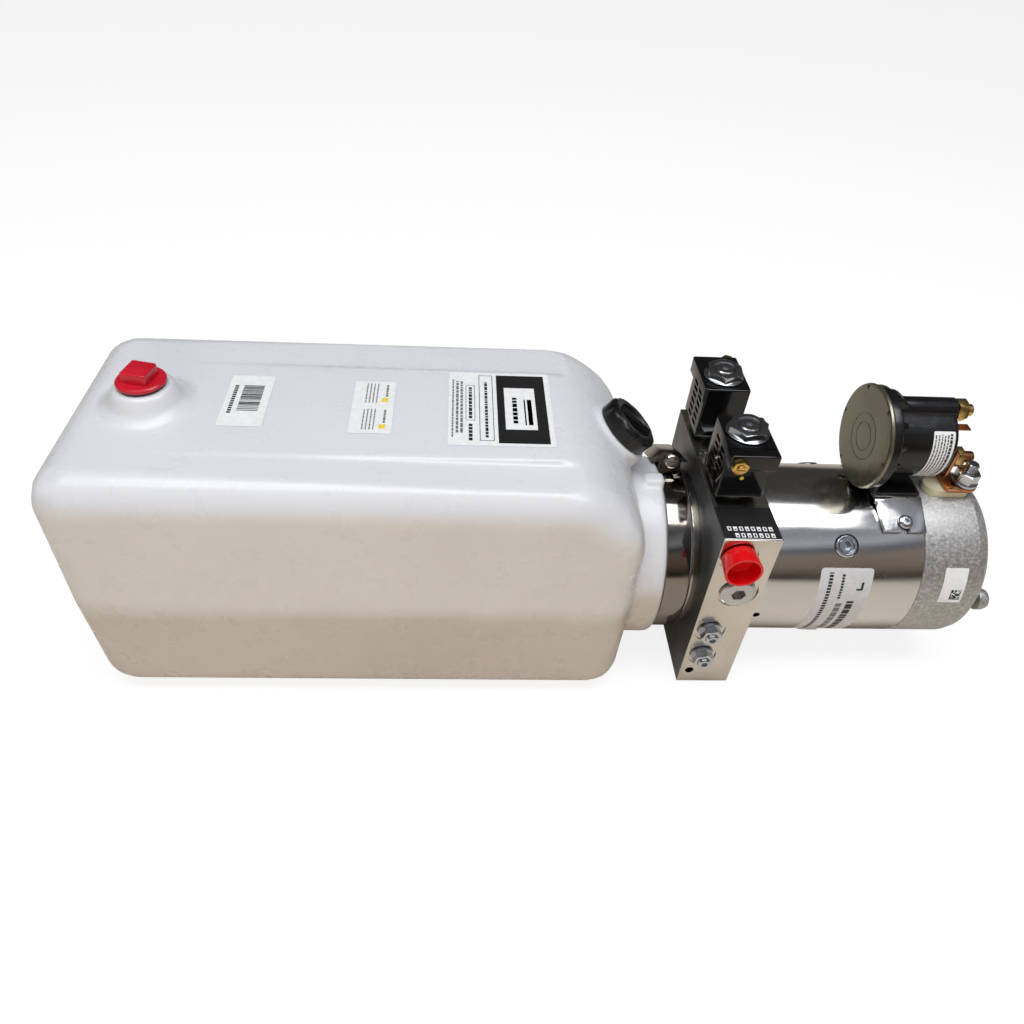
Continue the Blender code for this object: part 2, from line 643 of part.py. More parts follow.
def make_end_cap():
    outer = [(0, CAP_END), (30, CAP_END), (47, CAP_END - 0.8), (53, CAP_END - 3), (56, CAP_END - 6.5), (57, CAP_END - 11)]
    outer += [(57, TUBE_END + GAP), (CAP_BORE_R, TUBE_END + GAP), (CAP_BORE_R, 163), (21, 163), (21, 154)]
    outer += [(16.3, 154), (16.3, 166), (0, 166)]
    cap = turned("motor_end_cap", outer, CAST, steps=32)
    join(cap, ring("brush_ring", 22, CAP_BORE_R + 2, 128, 133, steps=32))
    slot = []
    for centre, start in ((154.5, -90), (138.5, 90)):
        slot += arc(7.8, start, start + 180, 8, (centre, 0))
    cut(cap, plate("terminal_slot", [slot], 40, None, (0, -2.5, 135), Z_AXIS, X_AXIS))
    for side in (-1, 1):
        place = (0, side * BOLT_REACH, SHAFT_Z)
        cut(cap, rod(f"cap_bolt_hole_{side}", 3.1, 120, 180, at=place, steps=12))
    for side in (-1, 1):
        low = (124, -5, SHAFT_Z + side * 32 - 14)
        cut(cap, box(f"brush_window_{side}", low, (137, 5, SHAFT_Z + side * 32 + 14)))


def make_rotor():
    shape = [(0, 165), (SHAFT_R, 165), (SHAFT_R, 119), (24, 118), (29, 112), (29, 109), (CORE_R, 108)]
    shape += [(CORE_R, 38), (29, 37), (29, 34), (24, 28), (SHAFT_R, 27), (SHAFT_R, -16.8), (0, -16.8)]
    armature = turned("armature", shape, IRON)
    cut(armature, box("shaft_slot", (-20, -2.3, SHAFT_Z - 9), (-11, 2.3, SHAFT_Z + 9)))
    ring("commutator", SHAFT_R + GAP, COMMUTATOR_R, 122, 143, COPPER)
    ring("end_bearing", SHAFT_R + GAP, 16, 154.5, 165.5, STEEL)
    ring("shaft_seal", SHAFT_R + GAP, 13.7, 8, 15, RUBBER)


def make_poles():
    """Four pole shoes joined by the field winding's rings at both ends."""
    poles = ring("field_poles", 35.2, 43.2, 110, 117, COPPER)
    join(poles, ring("field_ring_inner", 35.2, 43.2, 29, 36))
    for angle in (45, 135, 225, 315):
        outline = arc(51.6, angle - 33, angle + 33, 8) + arc(34.4, angle + 33, angle - 33, 6)
        shoe = plate(f"pole_shoe_{angle}", [outline], 78, None, (73, 0, SHAFT_Z), X_AXIS, (0, -1, 0))
        join(poles, shoe)
    for angle in (45, 135, 225, 315):
        place = around_shaft(0, angle, POLE_SCREW_X)
        hole = rod(f"pole_thread_{angle}", 4.4, 42, 60, at=place, axis=outward_at(angle), side=X_AXIS, steps=16)
        cut(poles, hole)
    for name, angle in (("pole_screw_front", 45), ("pole_screw_rear", 225)):
        place = around_shaft(0, angle, POLE_SCREW_X)
        axis = outward_at(angle)
        profile = [(0, 57.4), (6.4, 57.4), (7.4, 56.4), (7.4, 54.3), (4, 54.3), (4, 43), (0, 43)]
        screw = turned(name, profile, ZINC, place, axis, 24, X_AXIS)
        cut(screw, hexagon(f"{name}_socket", 5, 54.8, 60, at=place, axis=axis, side=X_AXIS))


def make_brushes():
    for name, side in (("brush_upper", 1), ("brush_lower", -1)):
        inner = SHAFT_Z + side * (COMMUTATOR_R + 0.4)
        outer = SHAFT_Z + side * 37
        low, high = sorted((inner, outer))
        box(name, (126, -4.5, low), (135, 4.5, high), CARBON)


def make_through_bolts():
    for name, side in (("through_bolt_front", -1), ("through_bolt_rear", 1)):
        place = (0, side * BOLT_REACH, SHAFT_Z)
        profile = [(0, 181), (3.5, 181), (6.6, 178.5), (7.2, 176), (7.2, CAP_END + GAP - 0.6)]
        profile += [(2.7, CAP_END + GAP - 0.6), (2.7, 8), (0, 8)]
        turned(name, profile, CAST, place, X_AXIS, 20)


# ---------------------------------------------------------------- contactor


def contactor_place(y=0.0, z=0.0):
    return (0, CONTACTOR_Y + y, CONTACTOR_Z + z)


def make_contactor():
    centre = contactor_place()
    disc = turned(
        "contactor_plate",
        [(0, 85.5), (33, 85.5), (33, 84), (32, DISC_X), (0, DISC_X)],
        OLIVE, centre, X_AXIS, 32,
    )
    for index in range(6):
        angle = math.radians(60 * index + 57)
        place = contactor_place(31 * math.cos(angle), 31 * math.sin(angle))
        cut(disc, rod(f"crimp_{index}", 1.7, 80, 84.2, at=place, steps=10))
    shell = [(0, CONTACTOR_END), (21, CONTACTOR_END), (CONTACTOR_R, CONTACTOR_END - 3), (CONTACTOR_R, 94)]
    shell += [(26, RING_END), (32, RING_END), (32, 85.8), (21.5, 85.8), (21.5, 118), (0, 118)]
    housing = turned("contactor_housing", shell, BLACK, centre, X_AXIS, 32)
    join(housing, rod("stud_rib", 7.2, 89.3, CONTACTOR_END - 0.4, at=contactor_place(0, 22), steps=18))
    cut(
        housing,
        rod("housing_bore", 21.5, 80, 118, at=centre, steps=32),
        rod("upper_stud_hole", 4.1, 100, 140, at=contactor_place(0, 21.6), steps=18),
        rod("lower_stud_hole", 4.1, 100, 140, at=contactor_place(-2, -13), steps=16),
        box("spade_slot", (100, -5.2, 171.7), (140, 1.2, 173.1)),
    )
    coil = ring("contactor_coil", 8, 19.5, 86.6, 107, COPPER, at=centre)
    join(coil, box("coil_lead", (104, -4.9, 172.0), (141, 0.9, 172.8)))
    plunger = [(0, 112.4), (19.6, 112.4), (19.6, 110.2), (7, 110.2), (7, 92), (0, 92)]
    plunger = turned("contactor_plunger", plunger, ZINC, centre, X_AXIS, 32)
    cut(plunger, box("lead_clearance", (100, -8, 167), (120, 4, 186)))
    upper = rod("terminal_upper", 3.8, 116, 142.5, BRASS, at=contactor_place(0, 21.6), steps=20)
    join(upper, hexagon("terminal_upper_nut", 12.5, CONTACTOR_END + GAP, 138, at=contactor_place(0, 21.6)))
    lower = rod("terminal_lower", 3.8, 116, 158, COPPER, at=contactor_place(-2, -13), steps=20)
    join(lower, hexagon("terminal_lower_nut", 12, 144.5, 150.5, at=contactor_place(-2, -13)))


def make_contactor_mount():
    top = SHAFT_Z + TUBE_R + 0.6
    fold = [(15, top), (34.5, top - 11.3), (35.8, top - 9.1), (15.7, top + 2.5)]
    outline = fold + [(-a, b) for a, b in reversed(fold)]
    saddle = plate("motor_saddle", [outline], 30.6, BRIGHT, (109.3, 0, 0), X_AXIS, Y_AXIS)
    place = around_shaft(0, 60, 111)
    axis = outward_at(60)
    cut(saddle, rod("saddle_hole", 2.6, 50, 65, at=place, axis=axis, side=X_AXIS, steps=12))
    cut(saddle, box("saddle_notch", (90, -60, 60), (96.5, -28, 200)))
    head = [(0, 62.8), (3.4, 62.8), (4.6, 61.2), (4.6, 60.5), (2.1, 60.5), (2.1, 54.2), (0, 54.2)]
    screw = turned("saddle_screw", head, ZINC, place, axis, 20, X_AXIS)
    cut(screw, hexagon("saddle_screw_socket", 3, 61.3, 66, at=place, axis=axis, side=X_AXIS))
    foot_low = top + 2.8
    upright = [(-16, foot_low), (30, foot_low), (30, foot_low + 20), (-16, foot_low + 20)]
    bracket = plate("contactor_bracket", [upright], 2.6, BLACK, (RING_END + GAP + 1.3, 0, 0), X_AXIS, Y_AXIS)
    join(bracket, box("bracket_foot", (92, -14.5, foot_low), (123, 14.5, foot_low + 2.4)))
    cut(bracket, rod("bracket_hollow", 26.6, 85, 140, at=contactor_place(), steps=32))


def make_motor_terminal():
    slot = []
    for centre, start in ((154.5, -90), (138.5, 90)):
        slot += arc(7.5, start, start + 180, 8, (centre, 0))
    block = plate("terminal_insulator", [slot], 10.5, CREAM, (0, -2.5, 122.75), Z_AXIS, X_AXIS)
    place = (155.5, -4, 0)
    cut(block, rod("insulator_hole", 4.3, 100, 140, at=place, axis=Z_AXIS, steps=20))
    profile = [(0, 146), (3.2, 146), (4, 145), (4, 132.6), (8.2, 132.6), (8.2, 131.1), (4, 131.1), (4, 107), (0, 107)]
    stud = turned("motor_terminal", profile, ZINC, place, Z_AXIS, 24)
    join(stud, hexagon("motor_terminal_nut", 13, 132.2, 139.8, at=place, axis=Z_AXIS))
    tab = arc(8.5, -90, 90, 8, (155.5, 0)) + [(141.6, 8.5), (141.6, -8.5)]
    strap = plate("copper_strap", [tab], 2.5, COPPER, (0, -4, 129.55), Z_AXIS, X_AXIS)
    join(strap, box("strap_upright", (141.6, -3.5, 128.5), (144.1, 11.5, 153)))
    cut(
        strap,
        rod("strap_hole", 4.3, 120, 140, at=place, axis=Z_AXIS, steps=20),
        rod("strap_upright_hole", 4.1, 135, 150, at=contactor_place(-2, -13), steps=16),
    )


make_tank()
make_filler_cap()
make_tank_plug()
make_clamp()
make_manifold()
make_port_closures()
make_relief("upper", RELIEF_UPPER_AT)
make_relief("lower", RELIEF_LOWER_AT)
make_valve("front", VALVE_FRONT_Y, -1)
make_valve("rear", VALVE_REAR_Y, 1)
make_pump()
make_motor_case()
make_end_cap()
make_rotor()
make_poles()
make_brushes()
make_through_bolts()
make_contactor()
make_contactor_mount()
make_motor_terminal()
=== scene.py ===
"""Looks of a hydraulic power unit: tank, manifold with two valves, motor and contactor.

The frame is the part's: X along the motor's shaft, Z up, the front towards -Y. The shapes of the pieces are
written in millimetres; the camera, the lights and the floor are in metres.
"""

import json
import math
import random

import bmesh
import bpy
from mathutils import Matrix, Vector


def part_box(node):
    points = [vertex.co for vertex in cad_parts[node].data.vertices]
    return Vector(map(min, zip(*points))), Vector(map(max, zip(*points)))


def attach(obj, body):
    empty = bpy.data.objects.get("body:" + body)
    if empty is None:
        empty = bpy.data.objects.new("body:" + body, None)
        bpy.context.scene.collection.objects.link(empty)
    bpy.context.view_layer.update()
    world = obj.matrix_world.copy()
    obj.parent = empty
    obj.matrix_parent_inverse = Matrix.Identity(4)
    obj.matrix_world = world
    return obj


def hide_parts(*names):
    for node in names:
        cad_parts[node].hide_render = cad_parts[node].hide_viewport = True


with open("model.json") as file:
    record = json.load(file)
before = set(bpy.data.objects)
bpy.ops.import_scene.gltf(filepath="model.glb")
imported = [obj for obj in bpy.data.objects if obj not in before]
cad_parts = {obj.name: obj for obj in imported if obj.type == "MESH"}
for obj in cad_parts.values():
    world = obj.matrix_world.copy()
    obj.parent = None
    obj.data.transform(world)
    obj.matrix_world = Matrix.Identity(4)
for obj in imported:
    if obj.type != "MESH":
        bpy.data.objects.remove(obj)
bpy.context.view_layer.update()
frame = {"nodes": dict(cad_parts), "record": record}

MM = 0.001
X_AXIS = (1.0, 0.0, 0.0)
Y_AXIS = (0.0, 1.0, 0.0)
Z_AXIS = (0.0, 0.0, 1.0)
FRONT = (0.0, -1.0, 0.0)

RECORD = frame["record"]
BODY_OF = {node: body for body, nodes in RECORD["behaviour"]["bodies"].items() for node in nodes}


# ---------------------------------------------------------------- camera, lights and stage


def make_camera():
    lens = bpy.data.cameras.new("camera")
    lens.sensor_width = 36.0
    lens.lens = 28.26
    lens.shift_x = 0.0158
    right = Vector((0.99832, -0.02776, 0.05079))
    up = Vector((-0.01836, 0.68028, 0.73272))
    back = right.cross(up)
    camera = bpy.data.objects.new("camera", lens)
    bpy.context.scene.collection.objects.link(camera)
    turn = Matrix((right, up, back)).transposed().to_4x4()
    camera.matrix_world = Matrix.Translation((-0.1734, -0.3885, 0.4529)) @ turn
    bpy.context.scene.camera = camera


def area_light(name, place, target, size, power, colour, glossy=True):
    light = bpy.data.lights.new(name, "AREA")
    light.shape = "RECTANGLE"
    light.size, light.size_y = size
    light.energy = power
    light.color = colour
    lamp = bpy.data.objects.new(name, light)
    bpy.context.scene.collection.objects.link(lamp)
    lamp.location = place
    lamp.rotation_euler = (Vector(target) - Vector(place)).to_track_quat("-Z", "Y").to_euler()
    lamp.visible_glossy = glossy


def add_node(tree, kind, links=None, **settings):
    """A shader node. links holds a value, or another node's output, for each of its sockets."""
    made = tree.nodes.new(kind)
    for key, value in settings.items():
        setattr(made, key, value)
    for key, value in (links or {}).items():
        if hasattr(value, "is_linked"):
            tree.links.new(value, made.inputs[key])
        else:
            made.inputs[key].default_value = value
    return made


# Colours of the room in front, from straight down to straight up, as the polished metal reflects it.
ROOM = (
    (0.0, (0.05, 0.04, 0.035)),
    (0.49, (0.05, 0.04, 0.032)),
    (0.53, (0.06, 0.048, 0.038)),
    (0.62, (0.2, 0.155, 0.125)),
    (0.74, (0.24, 0.2, 0.17)),
    (0.79, (0.1, 0.11, 0.14)),
    (0.84, (0.46, 0.48, 0.53)),
    (0.93, (0.15, 0.17, 0.22)),
    (0.97, (0.42, 0.44, 0.48)),
    (1.0, (0.5, 0.5, 0.5)),
)
BACK_WALL = (0.05, 0.047, 0.044, 1)
BACKDROP = (0.93, 0.93, 0.93, 1)


def make_world():
    """A pale backdrop to the camera; for all other rays a banded room in front and a dark wall behind."""
    world = bpy.data.worlds.new("studio")
    bpy.context.scene.world = world
    world.use_nodes = True
    tree = world.node_tree
    tree.nodes.clear()
    place = add_node(tree, "ShaderNodeTexCoord").outputs["Generated"]
    split = add_node(tree, "ShaderNodeSeparateXYZ", {0: place})
    height = add_node(tree, "ShaderNodeMapRange", {"From Min": -1.0, "Value": split.outputs["Z"]})
    ramp = add_node(tree, "ShaderNodeValToRGB", {0: height.outputs[0]})
    fill_ramp(ramp, ROOM)
    reach = {"From Min": -0.05, "From Max": 0.35, "Value": split.outputs["Y"]}
    behind = add_node(tree, "ShaderNodeMapRange", reach)
    walls = {0: behind.outputs[0], 6: ramp.outputs["Color"], 7: BACK_WALL}
    wall = add_node(tree, "ShaderNodeMix", walls, data_type="RGBA")
    rooms = add_node(tree, "ShaderNodeBackground", {"Color": wall.outputs[2], "Strength": 1.0})
    plain = add_node(tree, "ShaderNodeBackground", {"Color": BACKDROP})
    to_camera = add_node(tree, "ShaderNodeLightPath").outputs["Is Camera Ray"]
    pick = add_node(
        tree, "ShaderNodeMixShader", {0: to_camera, 1: rooms.outputs[0], 2: plain.outputs[0]}
    )
    add_node(tree, "ShaderNodeOutputWorld", {"Surface": pick.outputs[0]})


def fill_ramp(ramp, stops):
    elements = ramp.color_ramp.elements
    while len(elements) < len(stops):
        elements.new(0.5)
    for element, (place, colour) in zip(elements, stops):
        element.position = place
        element.color = (*colour, 1.0)


def make_floor(name, colour, drop, seen):
    """A floor that only the camera sees, or one that only lights the object and reflects in it."""
    shape = bmesh.new()
    bmesh.ops.create_grid(shape, x_segments=2, y_segments=2, size=8.0)
    mesh = bpy.data.meshes.new(name)
    shape.to_mesh(mesh)
    shape.free()
    floor = bpy.data.objects.new(name, mesh)
    floor.location.z = -drop
    bpy.context.scene.collection.objects.link(floor)
    floor.visible_camera = seen
    floor.visible_diffuse = floor.visible_glossy = not seen
    floor.visible_transmission = floor.visible_shadow = not seen
    mat = bpy.data.materials.new(name)
    mat.use_nodes = True
    tree = mat.node_tree
    shader = tree.nodes["Principled BSDF"]
    noise = add_node(tree, "ShaderNodeTexNoise", {"Scale": 3.0})
    ramp = add_node(tree, "ShaderNodeValToRGB", {0: noise.outputs[0]})
    fill_ramp(ramp, ((0.3, tuple(c * 0.97 for c in colour)), (0.7, colour)))
    tree.links.new(ramp.outputs[0], shader.inputs["Base Color"])
    shader.inputs["Roughness"].default_value = 0.8
    if seen:
        shader.inputs["Specular IOR Level"].default_value = 0.0
        shader.inputs["Emission Color"].default_value = (1, 1, 1, 1)
        shader.inputs["Emission Strength"].default_value = 0.83
    mesh.materials.append(mat)


make_camera()
make_world()
make_floor("floor", (0.25, 0.25, 0.25), 0.0, True)
make_floor("floor_bounce", (0.7, 0.63, 0.54), 0.001, False)
area_light("key", (-0.1, -0.15, 1.5), (-0.1, -0.15, 0.1), (1.9, 0.72), 21, (0.97, 0.985, 1.0))
area_light("front", (-0.35, -1.5, 0.6), (-0.15, 0, 0.08), (1.2, 0.5), 7, (1.0, 0.95, 0.9), False)
bpy.context.scene.view_settings.view_transform = "Standard"


# ---------------------------------------------------------------- materials


class Look:
    """A Principled material, with short calls for the nodes that vary it over the surface."""

    def __init__(self, name, metallic=0.0, **fixed):
        self.mat = bpy.data.materials.new(name)
        self.mat.use_nodes = True
        self.tree = self.mat.node_tree
        self.shader = self.tree.nodes["Principled BSDF"]
        self.shader.inputs["Metallic"].default_value = metallic
        for key, value in fixed.items():
            socket = self.shader.inputs[key.replace("_", " ")]
            socket.default_value = value
        self.place = self.node("ShaderNodeTexCoord").outputs["Object"]

    def node(self, kind, links=None, **settings):
        return add_node(self.tree, kind, links, **settings)

    def stretched(self, scale):
        return self.node(
            "ShaderNodeVectorMath", {0: self.place, 1: scale}, operation="MULTIPLY"
        ).outputs[0]

    def turned(self, along, around):
        """Coordinates that change with the radius and along local Z, and hardly round the axis."""
        split = self.node("ShaderNodeSeparateXYZ", {0: self.place})
        flat = self.node(
            "ShaderNodeVectorMath", {0: self.place, 1: (1, 1, 0)}, operation="MULTIPLY"
        ).outputs[0]
        radius = self.node("ShaderNodeVectorMath", {0: flat}, operation="LENGTH").outputs["Value"]
        reach = self.node("ShaderNodeMath", {0: radius, 1: along}, operation="MULTIPLY").outputs[0]
        height = self.node(
            "ShaderNodeMath", {0: split.outputs["Z"], 1: along}, operation="MULTIPLY"
        ).outputs[0]
        side = self.node(
            "ShaderNodeMath", {0: split.outputs["X"], 1: around}, operation="MULTIPLY"
        ).outputs[0]
        return self.node("ShaderNodeCombineXYZ", {0: reach, 1: height, 2: side}).outputs[0]

    def noise(self, scale, detail=3.0, vector=None):
        links = {"Vector": vector or self.place, "Scale": scale, "Detail": detail}
        return self.node("ShaderNodeTexNoise", links).outputs[0]

    def spots(self, scale, vector=None):
        return self.node("ShaderNodeTexVoronoi", {"Vector": vector or self.place, "Scale": scale}).outputs[
            "Distance"
        ]

    def range(self, factor, low, high, start=0.3, end=0.7):
        links = {"Value": factor, "From Min": start, "From Max": end, "To Min": low, "To Max": high}
        return self.node("ShaderNodeMapRange", links).outputs[0]

    def math(self, operation, a, b):
        return self.node("ShaderNodeMath", {0: a, 1: b}, operation=operation).outputs[0]

    def ramp(self, factor, *stops):
        made = self.node("ShaderNodeValToRGB", {0: factor})
        fill_ramp(made, stops)
        return made.outputs["Color"]

    def mix(self, factor, a, b):
        def wide(value):
            return (*value, 1.0) if isinstance(value, tuple) and len(value) == 3 else value
        made = self.node("ShaderNodeMix", {0: factor, 6: wide(a), 7: wide(b)}, data_type="RGBA")
        return made.outputs[2]

    def colour(self, value):
        self.tree.links.new(value, self.shader.inputs["Base Color"])

    def rough(self, value):
        if isinstance(value, float):
            self.shader.inputs["Roughness"].default_value = value
        else:
            self.tree.links.new(value, self.shader.inputs["Roughness"])

    def bump(self, *layers):
        """Each layer is a height from 0 to 1 and its depth in millimetres, finest last."""
        normal = None
        for height, depth in layers:
            links = {"Height": height, "Distance": depth * MM, "Strength": 1.0}
            if normal is not None:
                links["Normal"] = normal
            normal = self.node("ShaderNodeBump", links).outputs[0]
        self.tree.links.new(normal, self.shader.inputs["Normal"])


def polyethylene():
    """Blow-moulded wall with painted light: cool white where it faces up as painted light from above, warmer
    on its sides as painted warm bounce light, and browner and darker near the base as painted shade.
    """
    look = Look("look_polyethylene", Subsurface_Weight=0.25, Subsurface_Scale=0.006)
    look.shader.inputs["Subsurface Radius"].default_value = (1.0, 0.85, 0.7)
    height = look.node("ShaderNodeSeparateXYZ", {0: look.place}).outputs["Z"]
    normal = look.node("ShaderNodeTexCoord").outputs["Normal"]
    upward = look.node("ShaderNodeSeparateXYZ", {0: normal}).outputs["Z"]
    cloud = look.noise(7.0, 4.0)
    wavy = look.math("ADD", height, look.range(look.noise(11.0), -0.004, 0.004))
    # Painted light: up-facing faces get a cool white for light from above, the sides a warm tone for bounce
    # light, and the part below the seam a darker brown as painted shade.
    low = look.ramp(cloud, (0.35, (0.55, 0.495, 0.435)), (0.65, (0.6, 0.545, 0.485)))
    middle = look.ramp(cloud, (0.35, (0.7, 0.67, 0.635)), (0.65, (0.745, 0.72, 0.69)))
    top = look.ramp(cloud, (0.35, (0.66, 0.67, 0.695)), (0.65, (0.69, 0.7, 0.725)))
    side = look.mix(look.range(wavy, 0.0, 1.0, 0.074, 0.088), low, middle)
    look.colour(look.mix(look.range(upward, 0.0, 1.0, 0.12, 0.42), side, top))
    look.rough(look.range(look.noise(60.0), 0.24, 0.36))
    look.bump((look.noise(28.0, 0.0), 0.06), (look.noise(300.0, 2.0), 0.006))
    return look.mat


def plastic(name, dark, light, rough=(0.3, 0.45), grain=900.0, depth=0.02, **fixed):
    look = Look(name, **fixed)
    look.colour(look.ramp(look.noise(40.0), (0.35, dark), (0.65, light)))
    look.rough(look.range(look.noise(120.0), *rough))
    look.bump((look.noise(grain, 2.0), depth))
    return look.mat


def metal(name, dark, light, rough=(0.12, 0.25), lay="plain", depth=0.004, tone=25.0):
    """Bare or plated metal. The lay is the direction of its tool marks."""
    look = Look(name, metallic=1.0)
    look.colour(look.ramp(look.noise(tone, 4.0), (0.3, dark), (0.7, light)))
    if lay == "turned":
        marks = look.noise(1.0, 2.0, look.turned(2500.0, 6.0))
    elif lay == "long":
        marks = look.noise(1.0, 2.0, look.stretched((60.0, 2600.0, 2600.0)))
    else:
        marks = look.noise(700.0, 3.0)
    smear = look.noise(45.0, 5.0)
    look.rough(look.math("ADD", look.range(smear, rough[0], rough[1]), look.range(marks, -0.02, 0.03)))
    look.bump((marks, depth))
    return look.mat


def nickel_block():
    """Machined and plated steel: fine cutter marks, a few scratches, and painted shade: a dark grey, rougher
    face towards the tank.
    """
    look = Look("look_nickel_block", metallic=1.0)
    base = look.ramp(look.noise(18.0, 5.0), (0.3, (0.6, 0.565, 0.51)), (0.7, (0.76, 0.725, 0.67)))
    normal = look.node("ShaderNodeTexCoord").outputs["Normal"]
    facing = look.node("ShaderNodeSeparateXYZ", {0: normal}).outputs["X"]
    # Painted shade: the face towards the tank gets a dark grey colour for the shadowed surroundings it
    # reflects; it is also made rougher.
    tank_face_painted_shade = look.range(facing, 1.0, 0.0, -0.9, -0.6)
    look.colour(look.mix(tank_face_painted_shade, base, (0.16, 0.165, 0.17)))
    marks = look.noise(1.0, 2.0, look.stretched((2500.0, 2500.0, 60.0)))
    scratch = look.range(
        look.noise(1.0, 1.0, look.stretched((140.0, 140.0, 9.0))), 0.0, 1.0, 0.68, 0.72
    )
    wear = look.range(look.noise(40.0, 6.0), 0.16, 0.3)
    look.rough(look.math("ADD", wear, look.math("MULTIPLY", tank_face_painted_shade, 0.2)))
    look.bump((marks, 0.004), (scratch, 0.02))
    return look.mat


def plated_tube():
    """Bright plated tube: nearly a mirror, with dust, faint pits and the drawn direction along the tube."""
    look = Look("look_plated_tube", metallic=1.0)
    look.colour(look.ramp(look.noise(14.0, 4.0), (0.3, (0.66, 0.65, 0.63)), (0.7, (0.74, 0.735, 0.72))))
    dust = look.range(look.spots(330.0), 1.0, 0.0, 0.03, 0.12)
    smear = look.range(look.noise(1.0, 4.0, look.stretched((160.0, 160.0, 25.0))), 0.1, 0.2)
    look.rough(look.math("ADD", smear, look.math("MULTIPLY", dust, 0.25)))
    look.bump((look.noise(1.0, 2.0, look.stretched((900.0, 900.0, 300.0))), 0.003), (dust, 0.004))
    return look.mat


def cast_aluminium():
    look = Look("look_cast_aluminium", metallic=0.75)
    grain = look.noise(520.0, 4.0)
    glitter = look.range(look.spots(700.0), 1.0, 0.0, 0.05, 0.3)
    tone = look.ramp(
        grain, (0.3, (0.34, 0.335, 0.325)), (0.55, (0.5, 0.495, 0.485)), (0.75, (0.7, 0.695, 0.68))
    )
    look.colour(look.mix(look.math("MULTIPLY", glitter, 0.5), tone, (0.85, 0.85, 0.84)))
    look.rough(look.range(grain, 0.38, 0.6))
    look.bump((look.noise(180.0, 3.0), 0.08), (grain, 0.1))
    return look.mat


def painted_disc():
    look = Look("look_contactor_plate", metallic=0.85)
    look.colour(look.ramp(look.noise(30.0, 4.0), (0.3, (0.2, 0.19, 0.14)), (0.7, (0.27, 0.26, 0.2))))
    look.rough(look.range(look.noise(60.0, 4.0), 0.24, 0.36))
    rings = look.node(
        "ShaderNodeTexWave", {"Vector": look.turned(1.0, 0.0), "Scale": 170.0}, bands_direction="X"
    )
    look.bump((rings.outputs[1], 0.01), (look.noise(500.0), 0.008))
    return look.mat


def ink(name, colour, rough=0.45):
    look = Look(name)
    dark = tuple(c * 0.92 for c in colour)
    look.colour(look.ramp(look.noise(300.0), (0.35, dark), (0.65, colour)))
    look.rough(look.range(look.noise(90.0), rough - 0.06, rough + 0.06))
    return look.mat


POLY = polyethylene()
RED = plastic(
    "look_crimson_plug", (0.5, 0.006, 0.02), (0.6, 0.01, 0.03), (0.25, 0.4), 500.0, 0.02,
    Coat_Weight=0.2,
)
BRIGHT_RED = plastic(
    "look_red_cap", (0.66, 0.002, 0.004), (0.78, 0.004, 0.007), (0.16, 0.28), 500.0, 0.01,
    Coat_Weight=0.4,
)
BLACK = plastic(
    "look_black_cap", (0.004, 0.004, 0.0045), (0.008, 0.008, 0.0085), (0.24, 0.36), 1400.0, 0.015
)
COIL_BLACK = plastic(
    "look_coil_resin", (0.003, 0.003, 0.0035), (0.006, 0.006, 0.0065), (0.08, 0.18), 700.0, 0.004
)
SHELL_BLACK = plastic(
    "look_contactor_resin", (0.004, 0.004, 0.0045), (0.009, 0.009, 0.0095), (0.16, 0.3), 900.0, 0.01
)
CREAM = plastic(
    "look_cream_insulator", (0.6, 0.55, 0.36), (0.72, 0.67, 0.48), (0.3, 0.45), 700.0, 0.02,
    Subsurface_Weight=0.15, Subsurface_Scale=0.003,
)
RUBBER = plastic("look_rubber", (0.012, 0.012, 0.012), (0.022, 0.022, 0.022), (0.6, 0.75), 900.0, 0.03)
CARBON = plastic("look_carbon", (0.02, 0.02, 0.02), (0.045, 0.045, 0.045), (0.5, 0.7), 900.0, 0.04)
NICKEL = nickel_block()
TUBE = plated_tube()
HUB = metal("look_hub_nickel", (0.36, 0.32, 0.28), (0.46, 0.42, 0.37), (0.08, 0.16), "turned", 0.003)
BRIGHT = metal("look_bright_steel", (0.7, 0.69, 0.67), (0.8, 0.79, 0.77), (0.07, 0.16), "plain", 0.002)
# Painted reflection: the band's metal colour is darkened to stand for the dark surroundings that the
# polished band reflects.
BAND = metal("look_band_chrome_painted_dark", (0.24, 0.215, 0.19), (0.32, 0.29, 0.26), (0.05, 0.12), "plain", 0.002)
ZINC = metal("look_zinc", (0.5, 0.52, 0.56), (0.66, 0.68, 0.71), (0.12, 0.22), "turned", 0.004)
# Painted shade: a dark metal put on the faces of sockets, holes and recesses, for the shade inside them.
PAINTED_RECESS_SHADE = metal("look_painted_recess_shade", (0.012, 0.012, 0.012), (0.03, 0.03, 0.03), (0.4, 0.6))
STEEL = metal("look_steel", (0.5, 0.5, 0.5), (0.64, 0.64, 0.64), (0.2, 0.32), "turned", 0.006)
BRASS = metal("look_brass", (0.62, 0.4, 0.1), (0.78, 0.56, 0.2), (0.14, 0.28), "turned", 0.005)
COPPER = metal("look_copper", (0.42, 0.17, 0.08), (0.6, 0.27, 0.14), (0.16, 0.3), "turned", 0.005)
IRON = metal("look_iron", (0.2, 0.19, 0.18), (0.32, 0.31, 0.3), (0.3, 0.45), "turned", 0.008)
WINDING = metal("look_winding", (0.42, 0.15, 0.06), (0.58, 0.25, 0.12), (0.3, 0.42), "turned", 0.03)
CAST = cast_aluminium()
OLIVE = painted_disc()
PAPER = ink("look_label_white", (0.82, 0.825, 0.83))
SILVER_PAPER = ink("look_label_silver", (0.62, 0.62, 0.64), 0.35)
INK = ink("look_ink_black", (0.012, 0.012, 0.013), 0.4)
GREY_INK = ink("look_ink_grey", (0.16, 0.16, 0.17))
RED_INK = ink("look_ink_red", (0.62, 0.02, 0.03))
YELLOW_INK = ink("look_ink_yellow", (0.8, 0.62, 0.05))


# ---------------------------------------------------------------- shapes


